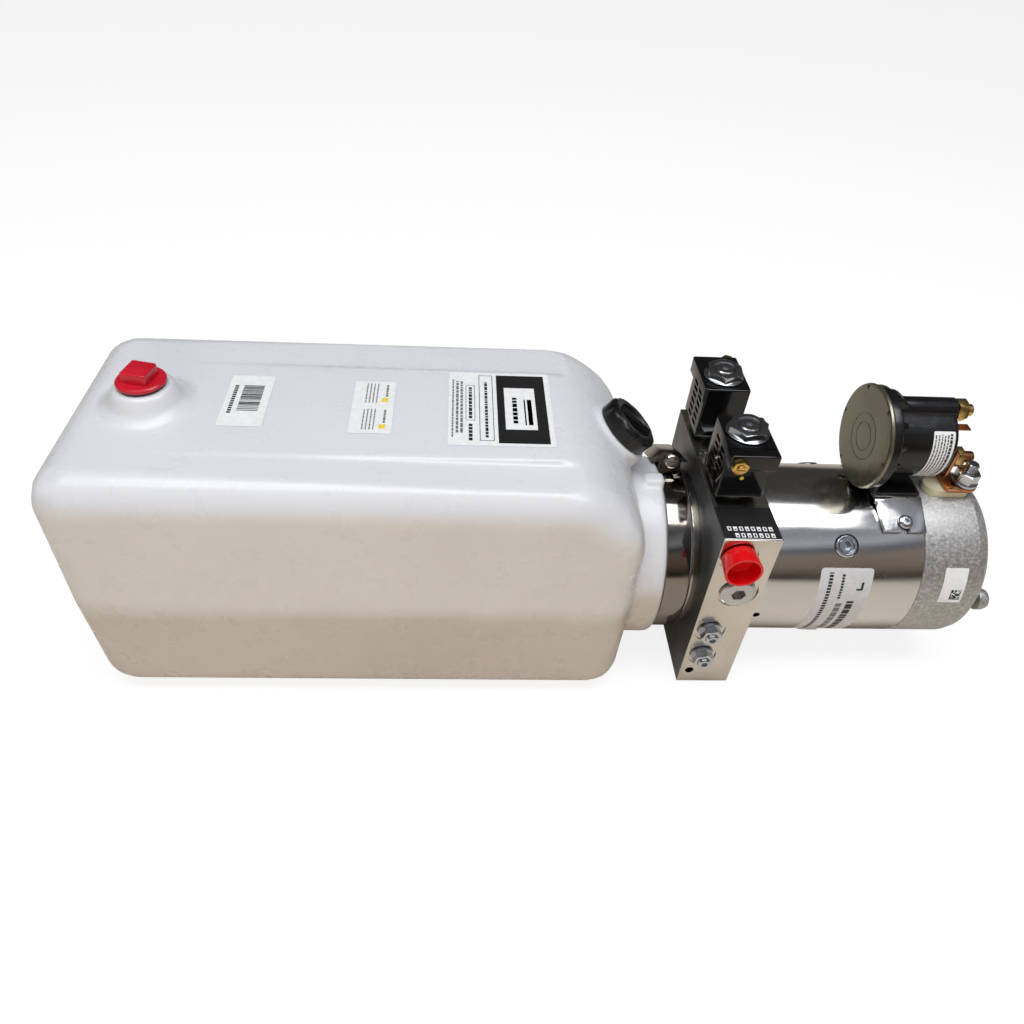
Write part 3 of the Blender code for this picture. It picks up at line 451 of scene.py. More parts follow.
def basis(axis, side):
    """A rotation that takes Z to axis and X to side."""
    along = Vector(axis).normalized()
    across = Vector(side).normalized()
    return Matrix((across, along.cross(across), along)).transposed().to_4x4()


def side_of(axis):
    return Y_AXIS if abs(Vector(axis).x) > 0.9 else X_AXIS


def place_at(at, axis, side=None):
    return Matrix.Translation(Vector(at) * MM) @ basis(axis, side or side_of(axis))


def add(name, shape, mat, where):
    """An object from a bmesh in millimetres, put where the matrix says."""
    bmesh.ops.scale(shape, vec=(MM, MM, MM), verts=shape.verts)
    bmesh.ops.recalc_face_normals(shape, faces=shape.faces)
    mesh = bpy.data.meshes.new(name)
    shape.to_mesh(mesh)
    shape.free()
    made = bpy.data.objects.new(name, mesh)
    bpy.context.scene.collection.objects.link(made)
    made.matrix_world = where
    if mat:
        mesh.materials.append(mat)
    return made


def smooth(made, angle=32):
    """Smooth faces that stay sharp along edges steeper than the angle, in degrees."""
    made.data.shade_smooth()
    made.data.set_sharp_from_angle(angle=math.radians(angle))
    return made


def fillet(points, radius, closed=False, steps=3):
    """The outline with its corners rounded; a corner too near another takes a smaller radius."""
    points = [Vector(p) for p in points]
    count = len(points)
    out = []
    for i, here in enumerate(points):
        if not closed and i in (0, count - 1):
            out.append(here)
            continue
        before = points[i - 1] - here
        after = points[(i + 1) % count] - here
        bend = math.pi - before.angle(after)
        if bend < math.radians(12):
            out.append(here)
            continue
        reach = min(radius * math.tan(bend / 2), before.length * 0.45, after.length * 0.45)
        start = here + before.normalized() * reach
        end = here + after.normalized() * reach
        for k in range(steps + 1):
            t = k / steps
            out.append(start * (1 - t) ** 2 + here * 2 * t * (1 - t) + end * t * t)
    return [tuple(p) for p in out]


def lathe(
    name, profile, mat, at, axis=X_AXIS, side=None, steps=72, edge=0.35, closed=False, lobes=None
):
    """A turned piece from (radius, distance along axis); lobes(angle, radius, height) moves a point in."""
    profile = fillet(profile, edge, closed) if edge else profile
    shape = bmesh.new()
    rings = []
    for radius, height in profile:
        if radius < 1e-6:
            rings.append([shape.verts.new((0, 0, height))])
            continue
        ring = []
        for k in range(steps):
            angle = 2 * math.pi * k / steps
            reach = radius - (lobes(angle, radius, height) if lobes else 0.0)
            ring.append(shape.verts.new((reach * math.cos(angle), reach * math.sin(angle), height)))
        rings.append(ring)
    pairs = list(zip(rings, rings[1:]))
    if closed:
        pairs.append((rings[-1], rings[0]))
    for upper, lower in pairs:
        for k in range(steps):
            m = (k + 1) % steps
            corners = [
                upper[k % len(upper)], lower[k % len(lower)], lower[m % len(lower)],
                upper[m % len(upper)],
            ]
            kept = []
            for corner in corners:
                if corner not in kept:
                    kept.append(corner)
            if len(kept) > 2:
                shape.faces.new(kept)
    return smooth(add(name, shape, mat, place_at(at, axis, side)))


def rod(name, radius, start, end, mat=None, at=(0, 0, 0), axis=X_AXIS, **more):
    return lathe(name, [(0, end), (radius, end), (radius, start), (0, start)], mat, at, axis, **more)


def drill(radius, start, end, at, axis=X_AXIS, side=None, **more):
    """A round cutter with sharp ends."""
    return rod("drill", radius, start, end, at=at, axis=axis, side=side, edge=0, **more)


def ring(name, inner, outer, start, end, mat, at, axis=X_AXIS, **more):
    return lathe(
        name, [(outer, end), (outer, start), (inner, start), (inner, end)], mat, at, axis, closed=True,
        **more,
    )


def prism(
    name, outline, start, end, mat, at=(0, 0, 0), axis=Z_AXIS, side=None, corner=0.0, edge=0.3,
    segments=2,
):
    """A flat outline pulled along axis, its corners and its edges rounded."""
    outline = fillet(outline, corner, True, 5) if corner else outline
    shape = bmesh.new()
    low = [shape.verts.new((a, b, start)) for a, b in outline]
    high = [shape.verts.new((a, b, end)) for a, b in outline]
    shape.faces.new(low)
    shape.faces.new(high)
    count = len(outline)
    for i in range(count):
        j = (i + 1) % count
        shape.faces.new((low[i], low[j], high[j], high[i]))
    bmesh.ops.recalc_face_normals(shape, faces=shape.faces)
    if edge:
        round_edges(shape, edge, segments)
    return smooth(add(name, shape, mat, place_at(at, axis, side)))


def round_edges(shape, width, segments=2, angle=30):
    sharp = [
        e for e in shape.edges if len(e.link_faces) == 2 and e.calc_face_angle() > math.radians(angle)
    ]
    bmesh.ops.bevel(
        shape, geom=sharp, offset=width, segments=segments, profile=0.5, affect="EDGES",
        clamp_overlap=True,
    )


def box(name, low, high, mat=None, edge=0.4, segments=2):
    low = Vector(low)
    high = Vector(high)
    shape = bmesh.new()
    bmesh.ops.create_cube(shape, size=1.0)
    bmesh.ops.scale(shape, vec=high - low, verts=shape.verts)
    if edge:
        round_edges(shape, edge, segments)
    return smooth(add(name, shape, mat, Matrix.Translation((low + high) / 2 * MM)))


def bake(made, angle=32):
    """Turns the object's modifiers into its mesh."""
    bpy.context.view_layer.update()
    graph = bpy.context.evaluated_depsgraph_get()
    mats = list(made.data.materials)
    mesh = bpy.data.meshes.new_from_object(made.evaluated_get(graph))
    made.modifiers.clear()
    made.data = mesh
    mesh.materials.clear()
    for mat in mats:
        mesh.materials.append(mat)
    return smooth(made, angle)


def combine(made, operation, tools, keep=False):
    for tool in tools:
        step = made.modifiers.new(tool.name, "BOOLEAN")
        step.operation = operation
        step.solver = "EXACT"
        step.object = tool
        step.material_mode = "INDEX"
    bake(made)
    for polygon in made.data.polygons:
        polygon.material_index = polygon.material_index if keep else 0
    for tool in tools:
        bpy.data.objects.remove(tool)
    return made


def cut(made, *tools):
    return combine(made, "DIFFERENCE", tools)


def sink_with_painted_shade(made, *tools):
    """Cuts recesses whose faces take a dark material as painted shade. It comes last of a piece's cuts and
    joins.
    """
    made.data.materials.append(PAINTED_RECESS_SHADE)
    for tool in tools:
        tool.data.materials.clear()
        for mat in (made.data.materials[0], PAINTED_RECESS_SHADE):
            tool.data.materials.append(mat)
        for polygon in tool.data.polygons:
            polygon.material_index = 1
    return combine(made, "DIFFERENCE", tools, keep=True)


def join(made, *tools):
    return combine(made, "UNION", tools)


def common(made, *tools):
    return combine(made, "INTERSECT", tools)


def hex_prism(name, flats, start, end, mat, at, axis, side=None, chamfer=0.12, both=False, turn=0.0):
    """A hexagon with its corners turned off at the outer end, or at both ends."""
    reach = flats / math.sqrt(3)
    points = arc(reach, turn, turn + 300, 5)
    made = prism(name, points, start, end, mat, at, axis, side, edge=0.15, segments=1)
    drop = chamfer * flats / 2
    low = start - 1 if not both else start
    profile = [(0, end + 0.01), (flats / 2 * 0.96, end + 0.01), (reach * 1.02, end - drop)]
    profile += [(reach * 1.02, start + drop), (flats / 2 * 0.96, start - 0.01)] if both else [
        (reach * 1.02, low)
    ]
    profile += [(0, start - 0.01 if both else low)]
    turned_off = lathe(f"{name}_turning", profile, None, at, axis, side, 48, edge=0)
    return common(made, turned_off)


def socket(flats, start, end, at, axis, side=None):
    """A hexagonal cutter."""
    return hex_prism("socket", flats, start, end, None, at, axis, side, chamfer=0)


def stand_for(made, *nodes):
    """The piece shows instead of these CAD nodes and moves with the first one's body."""
    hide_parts(*nodes)
    return trim(made, nodes[0])


def trim(made, node):
    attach(made, BODY_OF[node])
    return made


def arc(radius, start, end, count, centre=(0.0, 0.0)):
    angles = [math.radians(start + (end - start) * i / count) for i in range(count + 1)]
    return [(centre[0] + radius * math.cos(a), centre[1] + radius * math.sin(a)) for a in angles]


# ---------------------------------------------------------------- printed labels


def patch(shape, outline, place, low, high, index, pitch=3.0):
    """A thin sheet over a surface: place(u, v, lift) gives its points; index is its material."""
    made = bmesh.new()
    made.faces.new([made.verts.new((u, v, 0)) for u, v in outline])
    values = [v for _, v in outline]
    cuts = max(1, int((max(values) - min(values)) / pitch))
    for k in range(1, cuts):
        v = min(values) + (max(values) - min(values)) * k / cuts
        everything = made.verts[:] + made.edges[:] + made.faces[:]
        bmesh.ops.bisect_plane(made, geom=everything, plane_co=(0, v, 0), plane_no=(0, 1, 0), dist=1e-5)
    faces = [[(c.co.x, c.co.y) for c in (loop.vert for loop in face.loops)] for face in made.faces]
    rim = [[(v.co.x, v.co.y) for v in e.verts] for e in made.edges if len(e.link_faces) == 1]
    made.free()
    points = {}

    def point(u, v, lift):
        key = (round(u, 4), round(v, 4), lift)
        if key not in points:
            points[key] = shape.verts.new(place(u, v, lift))
        return points[key]

    for corners in faces:
        for lift in (low, high):
            face = shape.faces.new([point(u, v, lift) for u, v in corners])
            face.material_index = index
    for (u0, v0), (u1, v1) in rim:
        side = shape.faces.new(
            [point(u0, v0, low), point(u1, v1, low), point(u1, v1, high), point(u0, v0, high)]
        )
        side.material_index = index


def rectangle(u0, v0, u1, v1, corner=0.0):
    points = [(u0, v0), (u1, v0), (u1, v1), (u0, v1)]
    return fillet(points, corner, True, 4) if corner else points


def label(name, node, place, sheet, mats, marks, lift=0.12, corner=1.5):
    """A printed label: a sheet with rounded corners and the marks (u0, v0, u1, v1, material) on it."""
    shape = bmesh.new()
    patch(shape, rectangle(*sheet, corner), place, 0.02, lift, 0)
    for u0, v0, u1, v1, index in marks:
        patch(
            shape, rectangle(u0, v0, u1, v1), place, lift - 0.04, lift + 0.05 + 0.012 * (index > 1),
            index,
        )
    made = add(name, shape, mats[0], Matrix.Identity(4))
    for mat in mats[1:]:
        made.data.materials.append(mat)
    smooth(made, 40)
    return trim(made, node)


def words(rows, u0, u1, height, index, seed, gap=0.9, size=(1.2, 4.5), across=True):
    """Rows of short bars that stand for printed words. rows holds each row's middle."""
    draw = random.Random(seed)
    marks = []
    for middle in rows:
        at = u0
        while at < u1 - 0.6:
            length = min(draw.uniform(*size), u1 - at)
            low, high = middle - height / 2, middle + height / 2
            marks.append(
                (at, low, at + length, high, index) if across else (low, at, high, at + length, index)
            )
            at += length + gap
    return marks


def frame_of(u0, v0, u1, v1, width):
    """Four thin marks round a field."""
    upright = [(u1 - width, v0, u1, v1, 1), (u0, v0, u0 + width, v1, 1)]
    return upright + [(u0, v0, u1, v0 + width, 1), (u0, v1 - width, u1, v1, 1)]


def bars(u0, u1, v0, v1, seed, index, across=True, thin=0.35, thick=1.1):
    """A run of plain bars of uneven width."""
    draw = random.Random(seed)
    marks = []
    at = u0
    while at < u1 - thin:
        width = draw.choice((thin, thin, (thin + thick) / 2, thick))
        end = min(at + width, u1)
        marks.append((at, v0, end, v1, index) if across else (v0, at, v1, end, index))
        at += width + draw.choice((thin, thin, thick * 0.7))
    return marks


# ---------------------------------------------------------------- tank

SHAFT_Z = 66.5
SHAFT = (0.0, 0.0, SHAFT_Z)
TANK_LOW, TANK_HIGH = (tuple(c * 1000 for c in corner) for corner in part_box("reservoir_tank"))
TANK_TOP = 174.2
TANK_RIGHT = -60.0
CHAMFER = math.atan2(31.0, 37.0)
FILLER = (-69.1, 13.0, 150.8)
FILLER_AXIS = (math.sin(CHAMFER), 0.0, math.cos(CHAMFER))
FILLER_SIDE = (math.cos(CHAMFER), 0.0, -math.sin(CHAMFER))
PLUG_AT = (-349.8, 0.0)


def make_tank():
    left, right = TANK_LOW[0], TANK_RIGHT
    lean = 3.0
    outline = [
        (left + lean, 0), (right - lean / 2, 0), (right, 82), (right, 143.2), (-97, TANK_TOP),
        (left, TANK_TOP), (left, 82),
    ]
    shape = bmesh.new()
    front, back = TANK_LOW[1], TANK_HIGH[1]
    near = [shape.verts.new((x, front, z)) for x, z in outline]
    far = [shape.verts.new((x, back, z)) for x, z in outline]
    shape.faces.new(near)
    shape.faces.new(far)
    for i in range(len(outline)):
        j = (i + 1) % len(outline)
        shape.faces.new((near[i], near[j], far[j], far[i]))
    everything = shape.verts[:] + shape.edges[:] + shape.faces[:]
    bmesh.ops.bisect_plane(shape, geom=everything, plane_co=(0, 0, 82), plane_no=(0, 0, 1), dist=0.001)
    middle = (front + back) / 2
    for vert in shape.verts:
        if vert.co.z < 1:
            vert.co.y += math.copysign(lean, middle - vert.co.y)
    tank = add("tank_shell", shape, POLY, Matrix.Identity(4))
    bevel = tank.modifiers.new("rounding", "BEVEL")
    bevel.width = 20 * MM
    bevel.segments = 8
    bevel.limit_method = "ANGLE"
    bevel.angle_limit = math.radians(20)
    bevel.use_clamp_overlap = False
    bake(tank)
    recesses = []
    for name, low_y, high_y in (("front", front - 5, -45), ("back", 43, back + 6)):
        recess = box(
            f"recess_{name}", (-352, low_y, TANK_TOP - 1.5), (-102, high_y, TANK_TOP + 8.5), edge=0
        )
        recess.matrix_world = recess.matrix_world @ Matrix.Rotation(math.atan2(3.0, 250.0), 4, "Y")
        recesses.append(recess)
    cut(tank, *recesses)
    neck = [(0, -22.5), (53.5, -22.5), (53.5, -40), (58.2, -40), (59.7, -41.5), (59.7, -67), (0, -67)]
    boss = [(0, 187), (15.5, 187), (17, 185.5), (21.5, 178), (29, 173.2), (29, 169), (0, 169)]
    filler = [(0, 9), (15.5, 9), (15.5, 2.2), (20, 2.2), (21.5, 0.5), (21.5, -7), (0, -7)]
    join(
        tank,
        lathe("neck", neck, None, SHAFT, steps=96),
        box("neck_key", (-52, -8, SHAFT_Z + 56), (-39, 2, SHAFT_Z + 62.5), edge=1.0),
        lathe("plug_boss", boss, None, (*PLUG_AT, 0), Z_AXIS, edge=2.0),
        lathe("filler_boss", filler, None, FILLER, FILLER_AXIS, FILLER_SIDE),
    )
    cut(
        tank,
        drill(48.3, -75, -17, SHAFT, steps=96),
        drill(10.6, 120, 192, (*PLUG_AT, 0), Z_AXIS),
        drill(12.2, -40, 14, FILLER, FILLER_AXIS, FILLER_SIDE),
    )
    grid = tank.modifiers.new("one skin", "REMESH")
    grid.mode = "VOXEL"
    grid.voxel_size = 1.5 * MM
    melt = tank.modifiers.new("moulded edges", "SMOOTH")
    melt.factor = 0.5
    melt.iterations = 5
    bake(tank, 60)
    tank.data.shade_smooth()
    stand_for(tank, "reservoir_tank")


def make_tank_labels():
    def on_top(u, v, lift):
        return (u, v, TANK_TOP + 0.1 + lift)

    white = [PAPER, INK, RED_INK, PAPER, YELLOW_INK, GREY_INK]
    marks = bars(-6, 19.5, -298.3, -286.2, 5, 1, across=False)
    marks += words([-302.4], -8.5, 20.5, 2.2, 1, 8, across=False, size=(1.5, 1.5), gap=0.7)
    label("tank_label_left", "reservoir_tank", on_top, (-307, -20.7, -281.5, 30), white, marks)
    marks = []
    for row, (low, high) in enumerate(((-20, -16), (6, 10))):
        marks.append((-216, low, -212.2, high, 4))
        marks += words(
            [-219 - 2.1 * k for k in range(4)], low - 1, low + 19, 0.8, 5, 30 + row, 0.5, (0.8, 2.6),
            False,
        )
        marks += words([-213.2], low + 5.5, low + 18, 1.3, 5, 40 + row, 0.5, (1.2, 3), False)
    label("tank_label_middle", "reservoir_tank", on_top, (-233, -24.6, -208.5, 27.2), white, marks)
    marks = [(-147.5, -31, -118, 37.5, 1), (-143, -18, -124.5, 24, 3)]
    marks += [(-129.5, -13.5, -126.8, 12, 2), (-131.5, -13.5, -130.6, 12, 2)]
    marks += words([-137], -12, 14, 2.8, 5, 3, 0.8, (2.2, 4.5), False)
    marks += frame_of(-158.2, -29, -149.8, 37, 0.4)
    marks += words([-154], -26, 30, 1.7, 1, 11, 0.7, (1.2, 3.4), False)
    marks += frame_of(-166.2, -10, -160.7, 26, 0.3)
    marks += words([-163.4], -8, 24, 1.9, 1, 17, 0.7, (1.4, 3.6), False)
    marks += words([-163.4], -29, -13, 2.2, 1, 19, 0.7, (2.0, 3.0), False)
    marks += words([-168.6, -171.2], -22, 30, 1.5, 5, 23, 0.8, (1.4, 4.5), False)
    marks += words([-173.8], -26, 32, 1.0, 5, 29, 0.6, (1.0, 3.5), False)
    label("tank_label_right", "reservoir_tank", on_top, (-176.5, -33.5, -114.8, 40), white, marks)


def make_filler_cap():
    def scallop(angle, radius, height):
        if radius < 15.5 or height < 3.2:
            return 0.0
        wave = 0.5 + 0.5 * math.cos(8 * angle)
        return 1.5 * wave ** 3 * (radius - 15.0) / 4.0

    profile = [(0, 11.6), (12.0, 11.6), (12.6, 13.2), (16.6, 13.2), (18.6, 12.0), (19.0, 10.6)]
    profile += [(18.9, 2.6), (16, 2.6), (16, 10.6), (0, 10.6)]
    cap = lathe(
        "filler_cap_form", profile, BLACK, FILLER, FILLER_AXIS, FILLER_SIDE, 128, 0.5, lobes=scallop
    )
    outline = [(-12.8, -2.4), (12.8, -2.4), (12.8, 2.4), (-12.8, 2.4)]
    bar = prism("cap_bar", outline, 11.0, 14.4, None, FILLER, FILLER_AXIS, FILLER_SIDE, 0.8, 0.6)
    join(cap, bar)
    stand_for(cap, "filler_cap")


def make_tank_plug():
    place = (*PLUG_AT, 0)
    profile = [(0, 191), (13.0, 191), (14, 190), (14, 188.6), (10.2, 188.6), (10.2, 172), (0, 172)]
    plug = lathe("tank_plug_form", profile, RED, place, Z_AXIS, edge=0.5)
    half = 7.4
    outline = [(-half, -half), (half, -half), (half, half), (-half, half)]
    head = prism("plug_square", outline, 190, 197.4, None, place, Z_AXIS, None, 1.2, 0.8, 3)
    head.matrix_world = head.matrix_world @ Matrix.Rotation(math.radians(-13), 4, "Z")
    join(plug, head)
    stand_for(plug, "tank_plug")


def make_clamp():
    band = ring("clamp_band_form", 53.8, 55.8, -39, -24, BAND, SHAFT, edge=0.5, steps=128)
    tilt = math.radians(64)
    outward = Vector((0, math.cos(tilt), math.sin(tilt)))
    forward = Vector((0, -math.sin(tilt), math.cos(tilt)))
    foot = Vector((-31.5, 0, SHAFT_Z))
    outline = [(-7.2, 54.2), (7.2, 54.2), (7.2, 60.8), (12.5, 60.2), (10, 62.6), (5.5, 67), (-5.5, 67)]
    outline += [(-10, 62.6), (-12.5, 60.2), (-7.2, 60.8)]
    housing = prism("clamp_housing", outline, -12.5, 12.5, None, foot, forward, X_AXIS, 0.8, 0.4)
    join(band, housing)
    channel = drill(3.9, -20, 20, foot + outward * 61.8, forward, X_AXIS)
    cut(band, channel)
    stand_for(band, "clamp_band")
    at = foot + outward * 61.8
    profile = [(0, 18.4), (3.8, 18.4), (4.6, 17.6), (4.6, 13.2), (3.4, 13.2), (3.4, -14), (0, -14)]
    screw = lathe("clamp_screw_form", profile, BRIGHT, at, forward, X_AXIS, 40)
    slot = prism(
        "clamp_slot", [(-5.5, -0.6), (5.5, -0.6), (5.5, 0.6), (-5.5, 0.6)], 16.9, 20, None, at, forward,
        X_AXIS, edge=0,
    )
    cut(screw, slot)
    stand_for(screw, "clamp_screw")


# ---------------------------------------------------------------- manifold

FACE_FRONT = -66.5
BLOCK_TOP = 136.0
PORT_AT = (-5.5, 122.0)
PORT_PLUG_AT = (2.0, 91.2)
RELIEF_AT = {"upper": (-6.8, 54.2), "lower": (-6.4, 29.5)}
TOP_PLUG_AT = (-4, 12, BLOCK_TOP)
VALVE_X = -2.3
VALVE_Y = {"front": -18.0, "rear": 41.0}
COIL_TOP = 176.5


def bore(at, radius, depth):
    return drill(radius, -2, depth, (at[0], FACE_FRONT, at[1]), Y_AXIS, steps=48)


def make_manifold():
    block = box("manifold_block_form", (-17.5, FACE_FRONT, 0), (17.5, 61.3, BLOCK_TOP), NICKEL, 0.5)
    cut(
        block,
        bore(PORT_AT, 11.6, 0.8),
        bore(PORT_AT, 7.6, 30),
        bore(PORT_PLUG_AT, 12.6, 1.0),
        bore(PORT_PLUG_AT, 9.3, 15),
        bore(RELIEF_AT["upper"], 10.0, 0.7),
        bore(RELIEF_AT["upper"], 6.3, 38),
        bore(RELIEF_AT["lower"], 9.6, 0.7),
        bore(RELIEF_AT["lower"], 6.3, 38),
        drill(8.4, -14, 4, TOP_PLUG_AT, Z_AXIS),
        drill(9.3, 106, 140, (VALVE_X, VALVE_Y["front"], 0), Z_AXIS),
        drill(9.3, 106, 140, (VALVE_X, VALVE_Y["rear"], 0), Z_AXIS),
    )
    sink_with_painted_shade(block, bore((-11.0, 12.4), 2.9, 16))
    stand_for(block, "manifold_block")
    hub = [(0, -17.6), (52.6, -17.6), (52.6, -22.2), (48, -22.2), (48, -45), (0, -45)]
    trim(lathe("manifold_hub", hub, HUB, SHAFT, steps=128), "manifold_block")


def make_port_closures():
    place = (PORT_AT[0], FACE_FRONT, PORT_AT[1])
    profile = [
        (0, 2.2), (9.0, 2.2), (9.5, 12.9), (11.1, 12.9), (10.4, 1.6), (10.0, 0.3), (7.2, 0.3),
        (6.9, -8), (0, -8),
    ]
    stand_for(lathe("port_cap_form", profile, BRIGHT_RED, place, FRONT, edge=0.5), "port_cap")
    place = (PORT_PLUG_AT[0], FACE_FRONT, PORT_PLUG_AT[1])
    profile = [(0, 2.2), (9.6, 2.2), (11, 1.2), (11, -0.6), (9, -0.6), (9, -12), (0, -12)]
    plug = lathe("port_plug_form", profile, STEEL, place, FRONT, edge=0.25, steps=96)
    sink_with_painted_shade(plug, socket(8, -4.5, 4, place, FRONT))
    stand_for(plug, "port_plug")
    top = rod("top_plug_form", 8.0, -12, 1.5, ZINC, at=TOP_PLUG_AT, axis=Z_AXIS)
    join(top, hex_prism("top_plug_head", 20, 0.3, 5.5, None, TOP_PLUG_AT, Z_AXIS))
    stand_for(top, "top_plug")


def make_relief(level):
    """A relief valve's adjusting screw with its locknut, on the block's front."""
    at = RELIEF_AT[level]
    place = (at[0], FACE_FRONT, at[1])
    nut = rod(f"relief_locknut_{level}_form", 7.8, -0.3, 1.4, ZINC, at=place, axis=FRONT, edge=0.2)
    join(
        nut,
        hex_prism(
            f"locknut_hex_{level}", 12, 1.0, 6.6, None, place, FRONT,
            turn=12 if level == "upper" else 20,
        ),
    )
    cut(nut, drill(4.3, -5, 10, place, FRONT, steps=48))
    stand_for(nut, f"relief_locknut_{level}")
    profile = [(0, 8.6), (3.4, 8.6), (4.0, 8.0)]
    pitch = 0.8
    for k in range(10):
        profile += [(4.0, 7.6 - pitch * k), (3.65, 7.2 - pitch * k)]
    profile += [(4.0, -0.6), (4.0, -17), (0, -17)]
    screw = lathe(f"relief_screw_{level}_form", profile, ZINC, place, FRONT, steps=48, edge=0.06)
    sink_with_painted_shade(screw, socket(4, 5, 12, place, FRONT))
    stand_for(screw, f"relief_screw_{level}")


def make_manifold_label():
    def on_top(u, v, lift):
        return (u, v, BLOCK_TOP + lift)

    marks = []
    for row, count in ((-62.6, 8), (-57.2, 8)):
        for k in range(count):
            u = -13.4 + 3.5 * k
            if row < -60 and k in (0,):
                continue
            marks += [
                (u, row - 1.6, u + 2.3, row + 1.9, 1),
                (u + 0.65, row - 0.9, u + 1.65, row + (0.2 if k % 2 else 1.2), 2),
            ]
    marks.append((-16.8, -66.0, 16.8, -65.3, 1))
    label(
        "manifold_label", "manifold_block", on_top, (-17.1, -66.1, 17.1, -38.5), [INK, PAPER, INK],
        marks, 0.1, 0.3,
    )


# ---------------------------------------------------------------- valves


def make_valve(end):
    """A cartridge valve with its coil, the coil's nut and its brass terminal."""
    y = VALVE_Y[end]
    facing = -1 if end == "front" else 1
    place = (VALVE_X, y, 0)
    body = [(0, 182.3), (5.4, 182.3), (6, 181.7), (6, 171), (6.9, 171), (6.9, 139.6), (10.4, 139.6)]
    body += [(10.4, 136.3), (9, 136.3), (9, 108), (0, 108)]
    cartridge = lathe(f"cartridge_{end}_form", body, ZINC, place, Z_AXIS, edge=0.25)
    sink_with_painted_shade(cartridge, socket(4, 180.6, 184, place, Z_AXIS))
    stand_for(cartridge, f"cartridge_{end}")
    half = 14.0
    coil = box(
        f"coil_{end}_form", (VALVE_X - half, y - 16, 140), (VALVE_X + half, y + 16, COIL_TOP),
        COIL_BLACK, 1.0, 3,
    )
    ends = sorted((y + facing * 23.0, y - facing * 15.0))
    left, right = (VALVE_X - 14.1, VALVE_X + 14.3) if facing < 0 else (VALVE_X - 14.6, VALVE_X + 14.1)
    head = box(
        f"coil_head_{end}", (left, ends[0], 165.6), (right, ends[1], COIL_TOP + 0.1), edge=0.9,
        segments=3,
    )
    join(coil, head)
    tools = [
        drill(7.3, 130, 190, place, Z_AXIS),
        drill(13.4, COIL_TOP - 0.35, COIL_TOP + 3, place, Z_AXIS),
        box(
            f"top_groove_{end}", (VALVE_X - 30, y + facing * 15.6 - 0.3, COIL_TOP - 0.4),
            (VALVE_X + 30, y + facing * 15.6 + 0.3, 180), edge=0,
        ),
    ]
    for column in range(2):
        for row in range(6):
            low = (VALVE_X - 16, y - 10.5 + 11 * column, 144.2 + 4.6 * row)
            tools.append(
                box(
                    f"fin_slot_{end}_{column}_{row}", low,
                    (VALVE_X - half + 1.4, low[1] + 7.5, low[2] + 2.6), edge=0,
                ),
            )
    cut(coil, *tools)
    stand_for(coil, f"coil_{end}")
    nut = [
        (6.3, COIL_TOP + 0.4), (6.3, 179), (9.6, 179), (10.2, 178.4), (12.6, 177.6),
        (12.6, COIL_TOP + 0.4),
    ]
    nut = lathe(f"coil_nut_{end}_form", nut, ZINC, place, Z_AXIS, edge=0.2, closed=True)
    turn = 8 if facing < 0 else 22
    hexagon = hex_prism(
        f"coil_nut_hex_{end}", 21.0, 177.4, 182.4, None, place, Z_AXIS, chamfer=0.09, turn=turn
    )
    join(nut, hexagon)
    cut(nut, drill(6.3, 170, 190, place, Z_AXIS))
    sink_with_painted_shade(nut, drill(7.6, 181.4, 190, place, Z_AXIS))
    stand_for(nut, f"coil_nut_{end}")
    stud_x = VALVE_X + facing * 9.2
    stud = (stud_x, y + facing * 23.0, 171)
    outward = (0, facing, 0)
    terminal = rod(
        f"coil_terminal_{end}_form", 2.5, -4.5, 5.6, BRASS, at=stud, axis=outward, steps=40, edge=0.3
    )
    hexagon = hex_prism(f"terminal_hex_{end}", 8.6, 0.3, 4.2, None, stud, outward, both=True, turn=15)
    join(terminal, hexagon)
    middle = stud[1] + facing * 5.4
    cut(
        terminal,
        box(
            f"terminal_slot_{end}", (stud_x - 4, middle - 1, 170.6), (stud_x + 4, middle + 1, 171.4),
            edge=0,
        ),
    )
    stand_for(terminal, f"coil_terminal_{end}")
    if facing < 0:
        dot = rod(
            "coil_mark", 1.3, 0, 0.12, YELLOW_INK, at=(-4, y - 16, 155), axis=FRONT, steps=32, edge=0.05
        )
        trim(dot, "coil_front")


# ---------------------------------------------------------------- motor


def around(reach, angle, x=0.0):
    turn = math.radians(angle)
    return (x, -reach * math.cos(turn), SHAFT_Z + reach * math.sin(turn))


def outward_at(angle):
    turn = math.radians(angle)
    return (0, -math.cos(turn), math.sin(turn))


TUBE_R = 57.0
SCREW_ANGLES = (45, 135, 225, 315)


def make_motor_tube():
    tube = ring("motor_tube_form", 52, TUBE_R, 17.8, 124.8, TUBE, SHAFT, steps=192, edge=0.5)
    tools = []
    for angle in SCREW_ANGLES:
        place = around(0, angle, 74)
        axis = outward_at(angle)
        tools.append(drill(7.9, 54.0, 62, place, axis, X_AXIS))
        tools.append(drill(4.4, 48, 60, place, axis, X_AXIS, steps=32))
    tools.append(drill(2.4, 48, 60, around(0, -8, 25), outward_at(-8), X_AXIS, steps=32))
    cut(tube, *tools)
    stand_for(tube, "motor_tube")
    for angle in SCREW_ANGLES:
        make_pole_screw(angle)


